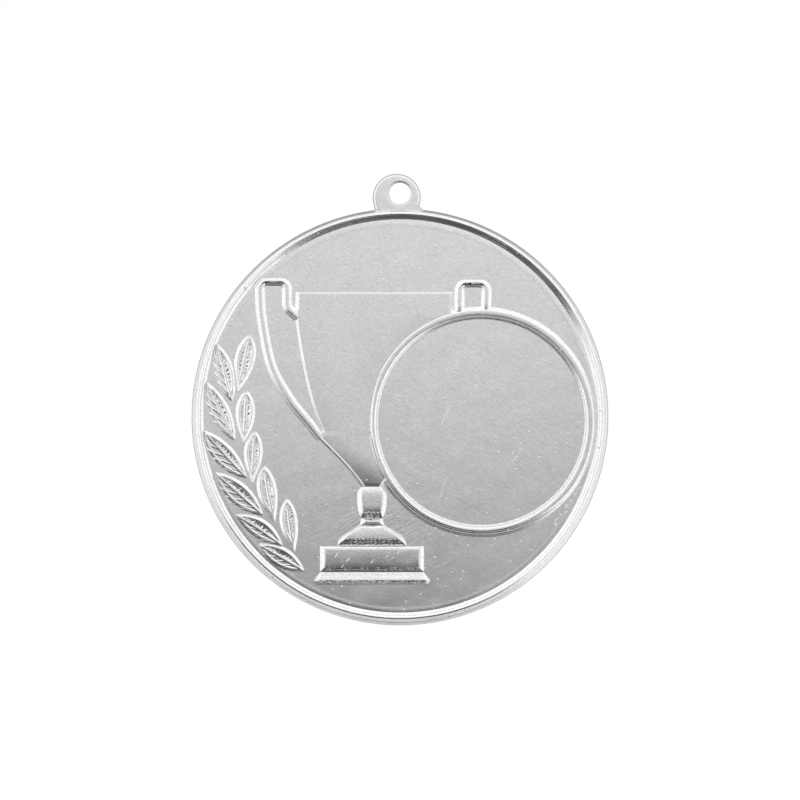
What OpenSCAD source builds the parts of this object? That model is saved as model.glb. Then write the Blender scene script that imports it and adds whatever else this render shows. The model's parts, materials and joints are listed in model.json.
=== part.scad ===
// Prize medal, 50 mm, with a cast-in hanging loop, a raised rim, a bezel for a 25 mm insert,
// a two-handled cup on a plinth and a laurel spray. Millimetres.
// Everything is drawn lying face up: z = 0 is the field, +z is the side that is looked at, and the
// middle of the round plate is at [0, 0]. At the end the medal is stood up as it hangs: +Z up,
// face towards -Y, with the middle of the loop's hole at the origin.

/* [Plate] */
// Diameter over the rim
medal_d = 50; // [48:1:62]
// Thickness of the plate under the field
plate_t = 1.75; // [1.4:0.05:2.4]
// Depth of the dish in the back
back_dish = 0.25; // [0.1:0.05:0.4]
// Width of the flat border round the back
back_border_w = 1.7; // [1:0.1:3]
// Rounding of the edge at the back
edge_round = 0.3; // [0.1:0.05:0.4]

/* [Rim] */
// Width of the rim, from the medal's edge to its foot on the field
rim_w = 1.3; // [1.2:0.05:2]
// Height of the rim's crest above the field
rim_h = 0.4; // [0.3:0.05:0.55]
// Radius of the crest on its inner side
crest_r = 0.08; // [0.04:0.01:0.12]
// Width of the rounded shoulder from the crest to the rim's outer slope
shoulder_w = 0.3; // [0.2:0.05:0.4]
// Width of the outer slope, which runs on below the field's level
rim_slope_w = 0.36; // [0.3:0.02:0.4]
// Tilt of the outer slope, in degrees
rim_tilt = 48; // [45:1:55]
// Radius over which the outer slope turns into the edge
edge_r = 0.42; // [0.2:0.02:0.5]
// Width of the shallow groove inside the rim
groove_w = 0.75; // [0.3:0.05:1.2]
// Depth of that groove, at the rim's foot
groove_d = 0.04; // [0.02:0.01:0.12]

/* [Loop] */
// Outside diameter of the loop
loop_d = 5.5; // [4.6:0.1:7]
// Diameter of the loop's hole
hole_d = 2.6; // [2:0.1:3.2]
// Thickness of the loop
loop_t = 1.6; // [1.2:0.05:1.7]
// Distance from the medal's edge to the middle of the hole
hole_rise = 1.8; // [1.6:0.1:3]
// How far the loop's outline is struck off its hole, to the left and down
loop_throw = [0.4, 0.3]; // [0:0.05:0.5]
// Width of the chamfer round the loop's face
loop_chamfer = 0.32; // [0.1:0.02:0.5]
// Width of the chamfer round the hole
hole_chamfer = 0.14; // [0.05:0.01:0.3]
// Radius in the corners between the loop and the medal's edge
loop_fillet = 0.5; // [0.2:0.1:1]

/* [Insert seat] */
// Diameter of the insert that the seat takes
insert_d = 25; // [20:0.5:26]
// Clearance round the insert, on the radius
insert_gap = 0.1; // [0.05:0.05:0.3]
// Depth of the seat below the field
seat_depth = 0.25; // [0.1:0.05:0.6]
// Height of the bezel above the field
bezel_h = 0.34; // [0.25:0.01:0.5]
// Width of the chamfer at the seat's mouth
bezel_mouth_w = 0.22; // [0.1:0.02:0.4]
// Width of the bezel's flat top
bezel_flat_w = 0.58; // [0.3:0.02:1]
// Width of the bezel's outer slope
bezel_slope_w = 0.4; // [0.3:0.05:0.6]
// Height up to which the inside of the bezel is straight, to hold the insert
bezel_wall_h = 0.14; // [0.1:0.02:0.2]
// Gap between the bezel and the rim where they come closest
bezel_to_rim = 0.15; // [0.1:0.05:2]
// Height of the seat's middle above the medal's middle
seat_rise = -0.6; // [-4:0.05:4]
// Throw of the ledge at the bezel's foot, to the left and down
ledge_throw = [0.24, 0.17]; // [0:0.01:0.3]
// Height of that ledge
ledge_h = 0.17; // [0.1:0.01:0.22]

/* [Cup] */
// Distance of the stem's axis from the medal's middle, to the left
cup_throw = 3.35; // [1:0.05:6]
// How far the lip's middle lies to the right of the stem's axis
cup_lean = 0.3; // [0:0.05:0.6]
// Height of the cup's lip above the medal's middle
lip_rise = 15; // [13:0.1:16]
// Width across the bowl's lip
lip_w = 19; // [14:0.1:19.4]
// Height of the bowl from the knop to the lip
bowl_len = 23.4; // [20:0.1:24]
// Height of the bowl's face above the field
bowl_h = 0.26; // [0.15:0.01:0.4]
// Width of the bowl's sloping edge
bowl_edge_w = 0.36; // [0.2:0.02:0.5]
// Width of the inner slope of the welt along the cone's edges
welt_w = 0.2; // [0.1:0.05:0.3]

/* [Handles] */
// Width of a handle
handle_w = 1.15; // [0.8:0.05:1.4]
// Height of a handle above the field
handle_h = 0.3; // [0.2:0.05:0.5]
// How far a handle stands out from the lip
handle_reach = 4.85; // [3.5:0.05:5]
// How far a handle rises over the lip
handle_rise = 1.65; // [1.2:0.05:1.9]
// Radius of the handle's bends, to its middle line
handle_bend = 0.65; // [0.4:0.05:0.9]
// How far the hook's leg stands off the lip, to its middle line
hook_gap = 0.95; // [0.7:0.05:1.2]
// How far the right handle is struck off the left one's mirror image, to the right and down
right_handle_shift = [-0.3, 0.2]; // [-0.4:0.05:0.4]

/* [Stand] */
// Height of the stand's pieces above the field
stand_h = 0.42; // [0.3:0.02:0.6]
// Width of the sloping sides of the stand's pieces
stand_slope_w = 0.6; // [0.3:0.05:0.8]
// Width of the knop
knop_w = 3.6; // [3:0.1:4.2]
// Height of the knop
knop_len = 3.75; // [3:0.05:4]
// Width of the collar under the knop, at its top
collar_w = 2.65; // [2.2:0.05:2.8]
// How much wider the collar is at its foot, as a factor
collar_flare = 1.16; // [1:0.02:1.3]
// Height of the collar
collar_len = 0.85; // [0.6:0.05:1.2]
// Width of the bell-shaped foot
foot_w = 8.3; // [6:0.1:9]
// Height of the foot
foot_len = 2.5; // [2:0.05:2.8]
// Width of the plinth
plinth_w = 12.5; // [10:0.1:13]
// Height of the plinth
plinth_len = 3.1; // [2.4:0.05:3.3]
// Width of the step under the plinth
step_w = 14.1; // [13.4:0.1:15]
// Height of the step
step_len = 1.5; // [1.2:0.05:1.7]
// How far the step's lower corners are cut back
step_corner = 0.4; // [0.1:0.05:0.6]

/* [Laurel] */
// Distance of the spray's line from the rim's foot
spray_inset = 3.7; // [3.5:0.05:5]
// Height of a leaf's body above the field
leaf_h = 0.26; // [0.2:0.02:0.4]
// Height of a side vein over the leaf's body
vein_h = 0.06; // [0.02:0.01:0.1]
// Number of side veins on an outer leaf
leaf_veins = 5; // [4:1:7]
// Width of a leaf's sloping edge
leaf_edge_w = 0.4; // [0.25:0.05:0.5]
// Width of that edge beside the veins
veined_edge_w = 0.2; // [0.15:0.05:0.4]

/* [Hidden] */
$fn = 96;
cut_over = 1;
medal_r = medal_d / 2;
field_r = medal_r - rim_w;
seat_r = insert_d / 2 + insert_gap;
bezel_r = seat_r + bezel_mouth_w + bezel_flat_w + bezel_slope_w;
seat_mid = [field_r - bezel_r - bezel_to_rim, seat_rise];
hole_y = medal_r + hole_rise;
loop_mid = loop_t / 2 - plate_t;
cup_x = -cup_throw;
lip_x = cup_x + cup_lean;

// The rim's outer slope, from its top to where the edge's rounding starts, and the crest inside it
slope_top = [medal_r - edge_r * (1 - sin(rim_tilt)) - rim_slope_w, rim_h - shoulder_w * tan(rim_tilt) / 1.5];
slope_end = slope_top + rim_slope_w * [1, -tan(rim_tilt)];
slope_at_field = slope_top.x + slope_top.y / tan(rim_tilt);
crest_at = slope_top.x - shoulder_w;

// Heights of the cup's joints, downwards from the lip
knop_top = lip_rise - bowl_len;
collar_top = knop_top - knop_len;
foot_top = collar_top - collar_len;
plinth_top = foot_top - foot_len;
step_top = plinth_top - plinth_len;

// The bowl's side, from the knop upwards, as shares of its length and of the lip's half width:
// a flaring cone up to the shoulder that carries the handle, then the tall side up to the lip
bowl_cone = [[0, 0.14], [0.03, 0.19], [0.12, 0.375], [0.26, 0.715]];
bowl_wall = [[0.285, 0.64], [0.44, 0.78], [0.65, 0.905], [0.87, 0.993], [1, 1]];

// The handle's long leg, from the shoulder upwards, as shares of its reach (outwards from the lip)
// and of the bowl's length (downwards from the lip)
handle_leg = [[-0.75, 0.75], [-0.43, 0.677], [0.165, 0.543], [0.66, 0.374], [0.92, 0.133], [1, 0]];

// A rise from the field over a straight flank with a rounded shoulder, as shares of its width and height
flank = [[0, 0], [0.12, 0.07], [0.72, 0.81], [0.86, 0.95], [1, 1]];

// How each piece of the stand rises from its bottom to its top, as shares of its length and height
knop_rise = [[0, 0], [0.16, 0.7], [0.22, 0.82], [0.5, 0.97], [0.75, 1], [0.9, 0.85], [1, 0.45]];
collar_rise = [[0, 0], [0.36, 0.75], [0.5, 0.8], [0.75, 0.8], [0.9, 0.6], [1, 0.3]];
foot_rise = [[0, 0], [0.26, 0.86], [0.32, 0.92], [0.6, 1], [0.88, 0.97], [0.96, 0.8], [1, 0.55]];
plinth_rise = [[0, 0], [0.13, 0.72], [0.18, 0.8], [0.45, 0.93], [0.8, 1], [0.9, 0.98], [0.97, 0.7], [1, 0.3]];
step_rise = [[0, 0], [0.25, 0.78], [0.34, 0.88], [0.46, 0.8], [0.7, 0.45], [0.95, 0.1], [1, 0.05]];

// A leaf's body from its midrib outwards, as [millimetres from the midrib, share of the body's height]: an
// outer leaf has a hollow beside the midrib on the cup's side and veins on the rim's side, and an inner
// leaf has a trough on both sides
hollow_side = [[0, 1.1], [0.05, 1.06], [0.21, 0.5], [0.3, 0.45], [0.5, 0.95], [0.65, 1]];
veined_side = [[0, 1.1], [0.05, 1.07], [0.2, 0.74], [0.26, 0.72]];
trough_side = [[0, 1.12], [0.04, 1.08], [0.19, 0.7], [0.26, 0.7], [0.5, 0.88], [0.6, 0.92]];

// The height of a leaf's blunt ends, and the shares of its half width where its face is worked out, from
// its cup side to its rim side
leaf_end_h = 0.02;
leaf_columns = [-1, -0.84, -0.68, -0.5, -0.36, -0.2, -0.04, 0.04, 0.18, 0.34, 0.52, 0.7, 0.85, 1];

// Each leaf: its place along the spray in degrees, its shift towards the rim, its length, its lean from
// the spray's line, its half widths on the rim's side and on the cup's side, and whether it has veins
outer_leaves = [
    [174.5, 0.25, 7.0, 20, 1.15, 1.2, true],
    [188.0, 0.0, 7.7, 18, 1.25, 1.15, true],
    [201.6, -0.25, 7.6, 21, 1.38, 1.17, true],
    [215.5, 0.2, 7.6, 13, 1.3, 1.3, true],
    [227.6, 0.9, 6.7, 9, 1.0, 1.3, true],
    [238.0, 1.75, 6.3, 2, 1.15, 1.25, true]];
inner_leaves = [
    [171.0, -0.35, 6.9, -3, 1.25, 1.25, false],
    [189.4, -1.05, 6.2, -12, 1.2, 1.2, false],
    [203.9, -0.65, 6.1, -27, 1.2, 1.1, false],
    [220.0, -0.4, 6.8, -29, 1.3, 1.1, false],
    [232.0, 0.55, 6.4, -44, 1.2, 1.0, false]];

function leaf_names(stem, leaves) = [for (i = [1:len(leaves)]) str(stem, i)];

// ---- Curves ----

// A point at t along a smooth curve from p1 to p2, with p0 and p3 before and after them
function curve_point(p0, p1, p2, p3, t) =
    0.5 * (2 * p1 + (p2 - p0) * t + (2 * p0 - 5 * p1 + 4 * p2 - p3) * t * t
           + (3 * p1 - p0 - 3 * p2 + p3) * t * t * t);

// A smooth open curve through the points, with n steps between each two
function smooth_curve(p, n) =
    let (last = len(p) - 1)
    concat([for (i = [0:last - 1], k = [0:n - 1])
                curve_point(p[max(i - 1, 0)], p[i], p[i + 1], p[min(i + 2, last)], k / n)],
           [p[last]]);

// An arc of radius r about c, from angle a to angle b, in n steps
function arc(c, r, a, b, n) = [for (i = [0:n]) let (t = a + (b - a) * i / n) c + r * [cos(t), sin(t)]];

// The left-hand normal of a path at its point i
function path_normal(p, i) =
    let (d = p[min(i + 1, len(p) - 1)] - p[max(i - 1, 0)])
    [-d.y, d.x] / norm(d);

function backwards(list) = [for (i = [len(list) - 1:-1:0]) list[i]];

// Faces between rows of points, clockwise where the next row lies above and the next column to the right
function skin_faces(rows, cols) =
    [for (r = [0:rows - 2], c = [0:cols - 2])
        let (a = r * cols + c, b = a + 1)
        each [[a, b + cols, b], [a, a + cols, b + cols]]];

// ---- Struck forms that stand on the field ----

// A strip from rows of points: each row runs across it from left to right, with both ends on the field.
// A first or last row that lies on the field all along closes the strip there, and any other gets a wall.
module struck_strip(rows) {
    n = len(rows);
    m = len(rows[0]);
    top = (n - 1) * m;
    starts_flat = rows[0][1].z == 0;
    ends_flat = rows[n - 1][1].z == 0;
    under = [for (i = [starts_flat ? 1 : 0:ends_flat ? n - 3 : n - 2])
        let (left = i * m, right = left + m - 1)
        each [[left, right, right + m], [left, right + m, left + m]]];
    first = starts_flat
        ? concat([[m - 1, 2 * m - 1, m]], [for (j = [0:m - 2]) [j, j + 1, m]])
        : [for (j = [1:m - 2]) [0, j, j + 1]];
    last = ends_flat
        ? concat([[top - m, top - 1, top]], [for (j = [0:m - 2]) [top + j + 1, top + j, top - 1]])
        : [for (j = [1:m - 2]) [top, top + j + 1, top + j]];
    polyhedron([for (row = rows) each row], concat(skin_faces(n, m), under, first, last));
}

// A ridge with straight flanks and a narrow flat top along a path, w wide and h high. Where the path runs
// level, the flat top all but closes and the ridge is narrower on its right-hand side.
module struck_ridge(path, w, h) {
    section = [[0.5, 0], [0.44, 0.1], [0.22, 0.85], [0.12, 1],
               [-0.12, 1], [-0.22, 0.85], [-0.44, 0.1], [-0.5, 0]];
    struck_strip([for (i = [0:len(path) - 1])
        let (normal = path_normal(path, i), closed = 0.2 * pow(normal.y, 6))
        [for (s = section)
            let (p = path[i] + (s.x < 0 ? s.x + closed : s.x) * w * normal) [p.x, p.y, s.y * h]]]);
}

// ---- Plate, rim and loop ----

module medal_plate() color("silver")
    difference() {
        rotate_extrude($fn = 180)
            polygon(concat(
                [[0, back_dish - plate_t],
                 [medal_r - back_border_w - back_dish, back_dish - plate_t],
                 [medal_r - back_border_w, -plate_t]],
                arc([medal_r - edge_round, edge_round - plate_t], edge_round, -90, 0, 6),
                arc(slope_end - edge_r * [sin(rim_tilt), cos(rim_tilt)], edge_r, 0, 90 - rim_tilt, 4),
                [[slope_at_field, 0],
                 [field_r, 0],
                 [field_r - groove_w * 0.15, -groove_d],
                 [field_r - groove_w * 0.5, -groove_d * 0.2],
                 [field_r - groove_w, 0],
                 [0, 0]]));
        translate([seat_mid.x, seat_mid.y, -seat_depth]) cylinder(r = seat_r, h = seat_depth + cut_over);
    }

// The rim's shoulder grows steeper with the root of the way from the crest, and its inner slope has a
// knee under which it is gentler
module rim() color("silver")
    rotate_extrude($fn = 180)
        polygon(concat(
            [[field_r, 0], [slope_at_field, 0]],
            [for (t = [1, 0.75, 0.5, 0.25])
                [crest_at + t * shoulder_w, rim_h - pow(t, 1.5) * (rim_h - slope_top.y)]],
            arc([crest_at, rim_h - crest_r], crest_r, 90, 132, 4),
            [[field_r + 0.47 * (crest_at - field_r), 0.4 * rim_h]]));

// The corner between the loop's outline and the medal's edge, on the left (side -1) or the right (side 1)
module loop_corner(side) {
    eye = [-loop_throw.x, hole_y - loop_throw.y];
    eye_far = norm(eye);
    to_eye = loop_d / 2 + loop_fillet;
    to_middle = medal_r + loop_fillet;
    turn = acos((eye_far * eye_far + to_middle * to_middle - to_eye * to_eye) / (2 * eye_far * to_middle));
    lean = atan2(eye.y, eye.x) - side * turn;
    corner = to_middle * [cos(lean), sin(lean)];
    inside = medal_r - cut_over;
    difference() {
        polygon([eye, corner, inside * corner / to_middle, inside * eye / eye_far]);
        translate(corner) circle(r = loop_fillet);
    }
}

module hanging_loop() color("silver")
    difference() {
        translate([0, 0, -plate_t]) {
            translate([-loop_throw.x, hole_y - loop_throw.y, 0]) {
                cylinder(d = loop_d, h = loop_t - loop_chamfer);
                translate([0, 0, loop_t - loop_chamfer])
                    cylinder(d1 = loop_d, d2 = loop_d - 2 * loop_chamfer, h = loop_chamfer);
            }
            for (side = [-1, 1]) linear_extrude(loop_t - loop_chamfer) loop_corner(side);
        }
        translate([0, 0, -plate_t - cut_over]) cylinder(r = medal_r, h = loop_t + 2 * cut_over, $fn = 180);
        translate([0, hole_y, -plate_t - cut_over]) cylinder(d = hole_d, h = loop_t + 2 * cut_over);
        translate([0, hole_y, loop_t - plate_t - hole_chamfer])
            cylinder(d1 = hole_d, d2 = hole_d + 4 * hole_chamfer, h = 2 * hole_chamfer);
    }

// ---- Insert seat ----

module insert_bezel() color("silver")
    translate([seat_mid.x, seat_mid.y, 0]) {
        rotate_extrude($fn = 150)
            polygon(concat(
                [[seat_r, 0]],
                [for (f = flank) [bezel_r - f.x * bezel_slope_w, bezel_h * f.y]],
                [for (f = backwards(flank)) if (f.x > 0.2)
                    [seat_r + f.x * bezel_mouth_w, bezel_wall_h + (bezel_h - bezel_wall_h) * f.y]],
                [[seat_r, bezel_wall_h]]));
        difference() {
            translate([-ledge_throw.x, -ledge_throw.y, 0])
                cylinder(r1 = bezel_r, r2 = bezel_r - bezel_slope_w * ledge_h / bezel_h,
                         h = ledge_h, $fn = 150);
            translate([0, 0, -cut_over]) cylinder(r = seat_r + bezel_mouth_w, h = 2 * cut_over);
        }
    }

// What the bezel and its ledge cover: the cup's pieces stop there
module bezel_ground(h)
    for (throw = [[0, 0], ledge_throw])
        translate([seat_mid.x - throw.x, seat_mid.y - throw.y, -cut_over])
            cylinder(r = bezel_r, h = 2 * cut_over + h, $fn = 150);

// ---- Cup ----

// The bowl's middle at a share of its length
function bowl_middle(share) = cup_x + cup_lean * share;

bowl_side = concat(smooth_curve(bowl_cone, 4), smooth_curve(bowl_wall, 5));

// A point of the bowl's left edge (side -1) or right edge (side 1)
function bowl_edge(s, side) = [bowl_middle(s.x) + side * lip_w / 2 * s.y, knop_top + bowl_len * s.x];

// What the bowl covers, and all beside its cone: the handles stop there, flush with the shoulder
module bowl_ground(h)
    translate([0, 0, -cut_over]) linear_extrude(2 * cut_over + h) {
        polygon(concat([for (s = bowl_side) bowl_edge(s, 1)],
                       [for (s = backwards(bowl_side)) bowl_edge(s, -1)]));
        translate([cup_x - lip_w / 2, knop_top]) square([lip_w, bowl_len * bowl_cone[len(bowl_cone) - 1].x]);
    }

// The bowl's face is slightly crowned, rolls down to the knop at its foot and has a welt along the cone's
// sloping edges
module cup_bowl() color("silver")
    difference() {
        struck_strip([for (s = bowl_side)
            let (y = knop_top + bowl_len * s.x,
                 half = lip_w / 2 * s.y,
                 h = bowl_h * min(1, 0.2 + 0.8 * sqrt(s.x / 0.1)),
                 welt = s.x < 0.27 ? 1.15 : 1)
            [for (c = [[-half, 0], [-half + bowl_edge_w * 0.7, 0.8], [-half + bowl_edge_w, welt],
                       [-half + bowl_edge_w + welt_w, 1], [0, 1.08], [half - bowl_edge_w - welt_w, 1],
                       [half - bowl_edge_w, welt], [half - bowl_edge_w * 0.7, 0.8], [half, 0]])
                [bowl_middle(s.x) + c.x, y, c.y * h]]]);
        bezel_ground(bowl_h);
    }

// The left handle's middle line: up the long leg, over the top and down the hook to the bowl
function handle_line() =
    let (lip_end = lip_x - lip_w / 2,
         reach = handle_reach - handle_w / 2,
         top = lip_rise + handle_rise - handle_w / 2,
         hook = lip_end - hook_gap,
         b = handle_bend)
    concat(
        smooth_curve([for (s = handle_leg) [lip_end - reach * s.x, lip_rise - bowl_len * s.y]], 5),
        arc([lip_end - reach + b, top - b], b, 180, 90, 5),
        arc([hook - b, top - b], b, 90, 0, 5),
        arc([hook + 2 * b, top - 3.6 * b], 2 * b, 180, 225, 5),
        [[hook + 1.9 * b, top - 6.3 * b]]);

module handle()
    difference() {
        struck_ridge(handle_line(), handle_w, handle_h);
        bowl_ground(handle_h);
        bezel_ground(handle_h);
    }

module cup_handle_left() color("silver") handle();

module cup_handle_right() color("silver")
    difference() {
        translate([2 * lip_x + right_handle_shift.x, -right_handle_shift.y, 0])
            mirror([1, 0, 0]) struck_ridge(handle_line(), handle_w, handle_h);
        bowl_ground(handle_h);
        bezel_ground(handle_h);
    }

// ---- Stand ----

// A piece of the stand, from the points of its right side given upwards as [half width, height]. It is as
// high as its rise says, or as the flank at its side where that is lower, so its corners are mitred.
module stand_piece(side, rise, h) {
    bottom = side[0].y;
    top = side[len(side) - 1].y;
    widths = [for (p = side) [p.y, p.x]];
    struck_strip([for (share = [0, 0.06, 0.13, 0.2, 0.27, 0.35, 0.45, 0.55, 0.65, 0.75, 0.82, 0.89, 0.95, 1])
        let (y = bottom + (top - bottom) * share, half = lookup(y, widths), level = lookup(share, rise))
        concat([for (f = flank) [cup_x - half + stand_slope_w * f.x, y, h * min(f.y, level)]],
               [for (f = backwards(flank)) [cup_x + half - stand_slope_w * f.x, y, h * min(f.y, level)]])]);
}

// A right side from shares of a piece's half width and height, over the piece's bottom
function side_from(shares, width, length, bottom) =
    [for (s = shares) [width / 2 * s.x, bottom + length * s.y]];

module cup_knop() color("silver")
    stand_piece(side_from(smooth_curve([[0.74, 0], [0.92, 0.25], [1, 0.6], [0.96, 0.85], [0.74, 1]], 4),
                          knop_w, knop_len, collar_top), knop_rise, stand_h);

module cup_collar() color("silver")
    stand_piece(side_from([[collar_flare, 0], [1.06, 0.45], [1, 1]], collar_w, collar_len, foot_top),
                collar_rise, stand_h);

module cup_foot() color("silver")
    stand_piece(side_from(smooth_curve([[1, 0], [0.985, 0.2], [0.9, 0.43], [0.76, 0.6], [0.56, 0.8],
                                        [collar_flare * collar_w / foot_w, 1]], 4),
                          foot_w, foot_len, plinth_top), foot_rise, stand_h);

module plinth() color("silver")
    stand_piece(side_from([[1, 0], [1, 1]], plinth_w, plinth_len, step_top), plinth_rise, stand_h);

module plinth_step() color("silver")
    stand_piece([[step_w / 2 - step_corner, step_top - step_len], [step_w / 2, step_top - 0.68 * step_len],
                 [plinth_w / 2, step_top]], step_rise, stand_h);

// ---- Laurel ----

function is_veined(l) = l[6];

// How full a leaf is at a share of its length, from its base at 0 to its tip at 1: an outer leaf is a
// lens, and an inner one is blunter and widest further up
function leaf_fullness(l, t) =
    let (u = is_veined(l) ? t : pow(t, 1.25))
    0.05 + 0.95 * pow(4 * u * (1 - u), is_veined(l) ? 0.95 : 0.7);

// A leaf's half width there, on its rim's side (s over 0) or its cup's side
function leaf_half(l, t, s) = (s > 0 ? l[4] : l[5]) * leaf_fullness(l, t);

// A point of a leaf's plan, at a share of its length and a share of its half width
function leaf_point(l, t, s) = [l[2] * t, s * leaf_half(l, t, s) + 0.35 * sin(180 * t) * (l[4] - l[5])];

// A side vein's height, as a share: it runs from the midrib towards the border and the tip, rises steeply
// on the tip's side and falls off gently on the other
function vein(t, s) =
    let (turn = leaf_veins * (0.5 * s - t) + 0.4, far = turn - floor(turn))
    far < 0.3 ? far / 0.3 : max(0, 1 - (far - 0.3) / 0.5);

// The height of a leaf's face: its sloping edge, or its body where that is lower. The hollows beside the
// midrib end before the base and the tip.
function leaf_face(l, t, s) =
    let (half = leaf_half(l, t, s),
         combed = is_veined(l) && s > 0,
         edge = (1 - abs(s)) * half / (combed ? veined_edge_w : leaf_edge_w),
         body = lookup(abs(s) * half, combed ? veined_side : is_veined(l) ? hollow_side : trough_side),
         open = combed ? 1 : min(1, max(0, 5 * (t - 0.1)), max(0, 8 * (0.98 - t))),
         on_web = combed && s > 0.1 && s < 0.85 && t > 0.06 && t < 0.93)
    abs(s) == 1 ? 0
    : leaf_h * min(edge, 0.94 + (body - 0.94) * open) + (on_web ? vein_h * vein(t, s) * min(1, edge) : 0);

// Puts a leaf on the spray, its tip upwards along the rim
module on_spray(l) {
    r = field_r - spray_inset + l[1];
    translate([r * cos(l[0]), r * sin(l[0]), 0]) rotate(l[0] - 90 + l[3]) children();
}

// The leaves that lie over an outer leaf: the inner one beside it, or the last leaf's neighbour
function leaves_over_outer(i) =
    i < len(inner_leaves) ? [inner_leaves[i]] : [outer_leaves[i - 1]];

// A leaf, cut back where other leaves lie over it
module laurel_leaf(l, over) color("silver")
    difference() {
        steps = 24;
        on_spray(l) struck_strip([for (i = [0:steps])
            [for (s = backwards(leaf_columns))
                let (t = i / steps, p = leaf_point(l, t, s))
                [p.x, p.y, i == 0 || i == steps ? leaf_end_h * (1 - s * s) : leaf_face(l, t, s)]]]);
        for (other = over)
            on_spray(other) translate([0, 0, -cut_over]) linear_extrude(2 * cut_over + leaf_h)
                polygon(concat([for (i = [0:steps]) leaf_point(other, i / steps, 1)],
                               [for (i = [steps:-1:0]) leaf_point(other, i / steps, -1)]));
    }

// Stands the medal up: the face turns towards -Y, and the hole's middle goes to the origin
module stood_up() rotate([90, 0, 0]) translate([0, -hole_y, -loop_mid]) children();

stood_up() medal_plate();
stood_up() rim();
stood_up() hanging_loop();
stood_up() insert_bezel();
stood_up() cup_bowl();
stood_up() cup_handle_left();
stood_up() cup_handle_right();
stood_up() cup_knop();
stood_up() cup_collar();
stood_up() cup_foot();
stood_up() plinth();
stood_up() plinth_step();
for (i = [1:len(outer_leaves)])
    stood_up() laurel_leaf(outer_leaves[i - 1], leaves_over_outer(i - 1));
for (i = [1:len(inner_leaves)])
    stood_up() laurel_leaf(inner_leaves[i - 1], i < len(inner_leaves) ? [inner_leaves[i]] : []);
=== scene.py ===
"""A struck silver prize medal: plate, rim, hanging loop, insert bezel, cup, stand and laurel.

Every struck form is worked out lying face up, in millimetres: x to the right, y up the medal and
h over the field, with the middle of the round plate at x = 0, y = 0. stood() then turns it into
the frame's metres. A form that stands on the field goes a little below it, so no joint shows.
"""

import json
import math

import bmesh
import bpy
import numpy as np
from bpy.props import BoolProperty, FloatProperty, FloatVectorProperty, IntProperty, PointerProperty
from bpy.types import Operator, Panel, PropertyGroup
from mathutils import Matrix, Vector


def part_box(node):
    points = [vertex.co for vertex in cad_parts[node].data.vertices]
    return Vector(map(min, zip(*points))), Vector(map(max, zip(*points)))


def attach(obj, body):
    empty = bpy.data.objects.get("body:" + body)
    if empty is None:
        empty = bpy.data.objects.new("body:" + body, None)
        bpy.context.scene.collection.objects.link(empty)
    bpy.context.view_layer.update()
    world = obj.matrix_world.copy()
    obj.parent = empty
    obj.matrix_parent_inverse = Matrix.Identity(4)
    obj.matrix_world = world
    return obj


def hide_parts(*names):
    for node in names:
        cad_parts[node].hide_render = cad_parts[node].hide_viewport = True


bl_info = {
    "name": "Struck prize medal",
    "version": (1, 0, 0),
    "blender": (4, 5, 0),
    "location": "View3D > Sidebar > Medal",
    "description": "Builds the surfaces, the silver finish and the studio of a struck prize medal",
    "category": "Object",
}

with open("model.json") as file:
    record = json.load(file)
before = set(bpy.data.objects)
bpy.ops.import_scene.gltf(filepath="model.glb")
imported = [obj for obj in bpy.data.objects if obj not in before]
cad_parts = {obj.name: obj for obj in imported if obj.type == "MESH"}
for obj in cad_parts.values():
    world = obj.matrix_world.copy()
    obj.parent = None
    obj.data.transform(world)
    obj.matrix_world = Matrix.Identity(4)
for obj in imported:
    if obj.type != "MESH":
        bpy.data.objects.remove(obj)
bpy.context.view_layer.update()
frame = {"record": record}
MM = 0.001
SILVER = tuple(frame["record"]["materials"][0]["base_color"][:3])


# ---- Sizes of the frame ----

class Lying:
    """A CAD node's box in millimetres as it lies face up: its sides on the face and its height h over the
    field."""

    def __init__(self, node, middle_z, field_y):
        lo, hi = (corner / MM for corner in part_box(node))
        self.left, self.right = lo.x, hi.x
        self.low, self.high = lo.z - middle_z, hi.z - middle_z
        self.width = hi.x - lo.x
        self.middle = (lo.x + hi.x) / 2
        self.h = field_y - lo.y


class Measured:
    """Sizes that the frame gives, in millimetres."""

    STAND_NODES = ("cup_knop", "cup_collar", "cup_foot", "plinth", "plinth_step")

    def __init__(self):
        lo, hi = (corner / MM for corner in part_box("medal_plate"))
        self.field_y = lo.y
        self.middle_x = (lo.x + hi.x) / 2
        self.middle_z = (lo.z + hi.z) / 2
        self.medal_r = (hi.x - lo.x) / 2
        self.plate_t = hi.y - lo.y
        self.hole_y = -self.middle_z
        self.rim = self.lying("rim")
        self.loop = self.lying("hanging_loop")
        self.bezel = self.lying("insert_bezel")
        self.bowl = self.lying("cup_bowl")
        self.left_handle = self.lying("cup_handle_left")
        self.right_handle = self.lying("cup_handle_right")
        self.stand = {node: self.lying(node) for node in self.STAND_NODES}
        # the forms of the stand share the foot's height and the step's middle
        self.stand_h = self.stand["cup_foot"].h
        self.stem_x = self.stand["plinth_step"].middle
        self.bowl_bottom = self.stand["cup_knop"].high
        self.bowl_length = self.bowl.high - self.bowl_bottom

    def lying(self, node):
        """A node's box, from the plate's middle and the field."""
        return Lying(node, self.middle_z, self.field_y)


size = Measured()


# ---- Values that a user would change ----

def length(name, text, millimetres):
    """A length property, given in millimetres."""
    return FloatProperty(name=name, description=text, default=millimetres * MM, unit="LENGTH", precision=5)


def angle(name, text, degrees):
    """An angle property, given in degrees."""
    return FloatProperty(name=name, description=text, default=math.radians(degrees), subtype="ANGLE")


def factor(name, text, value, most=1.0):
    """A property without a unit, from 0 up to the most that it may be."""
    return FloatProperty(name=name, description=text, default=value, min=0, max=most, subtype="FACTOR")


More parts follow.
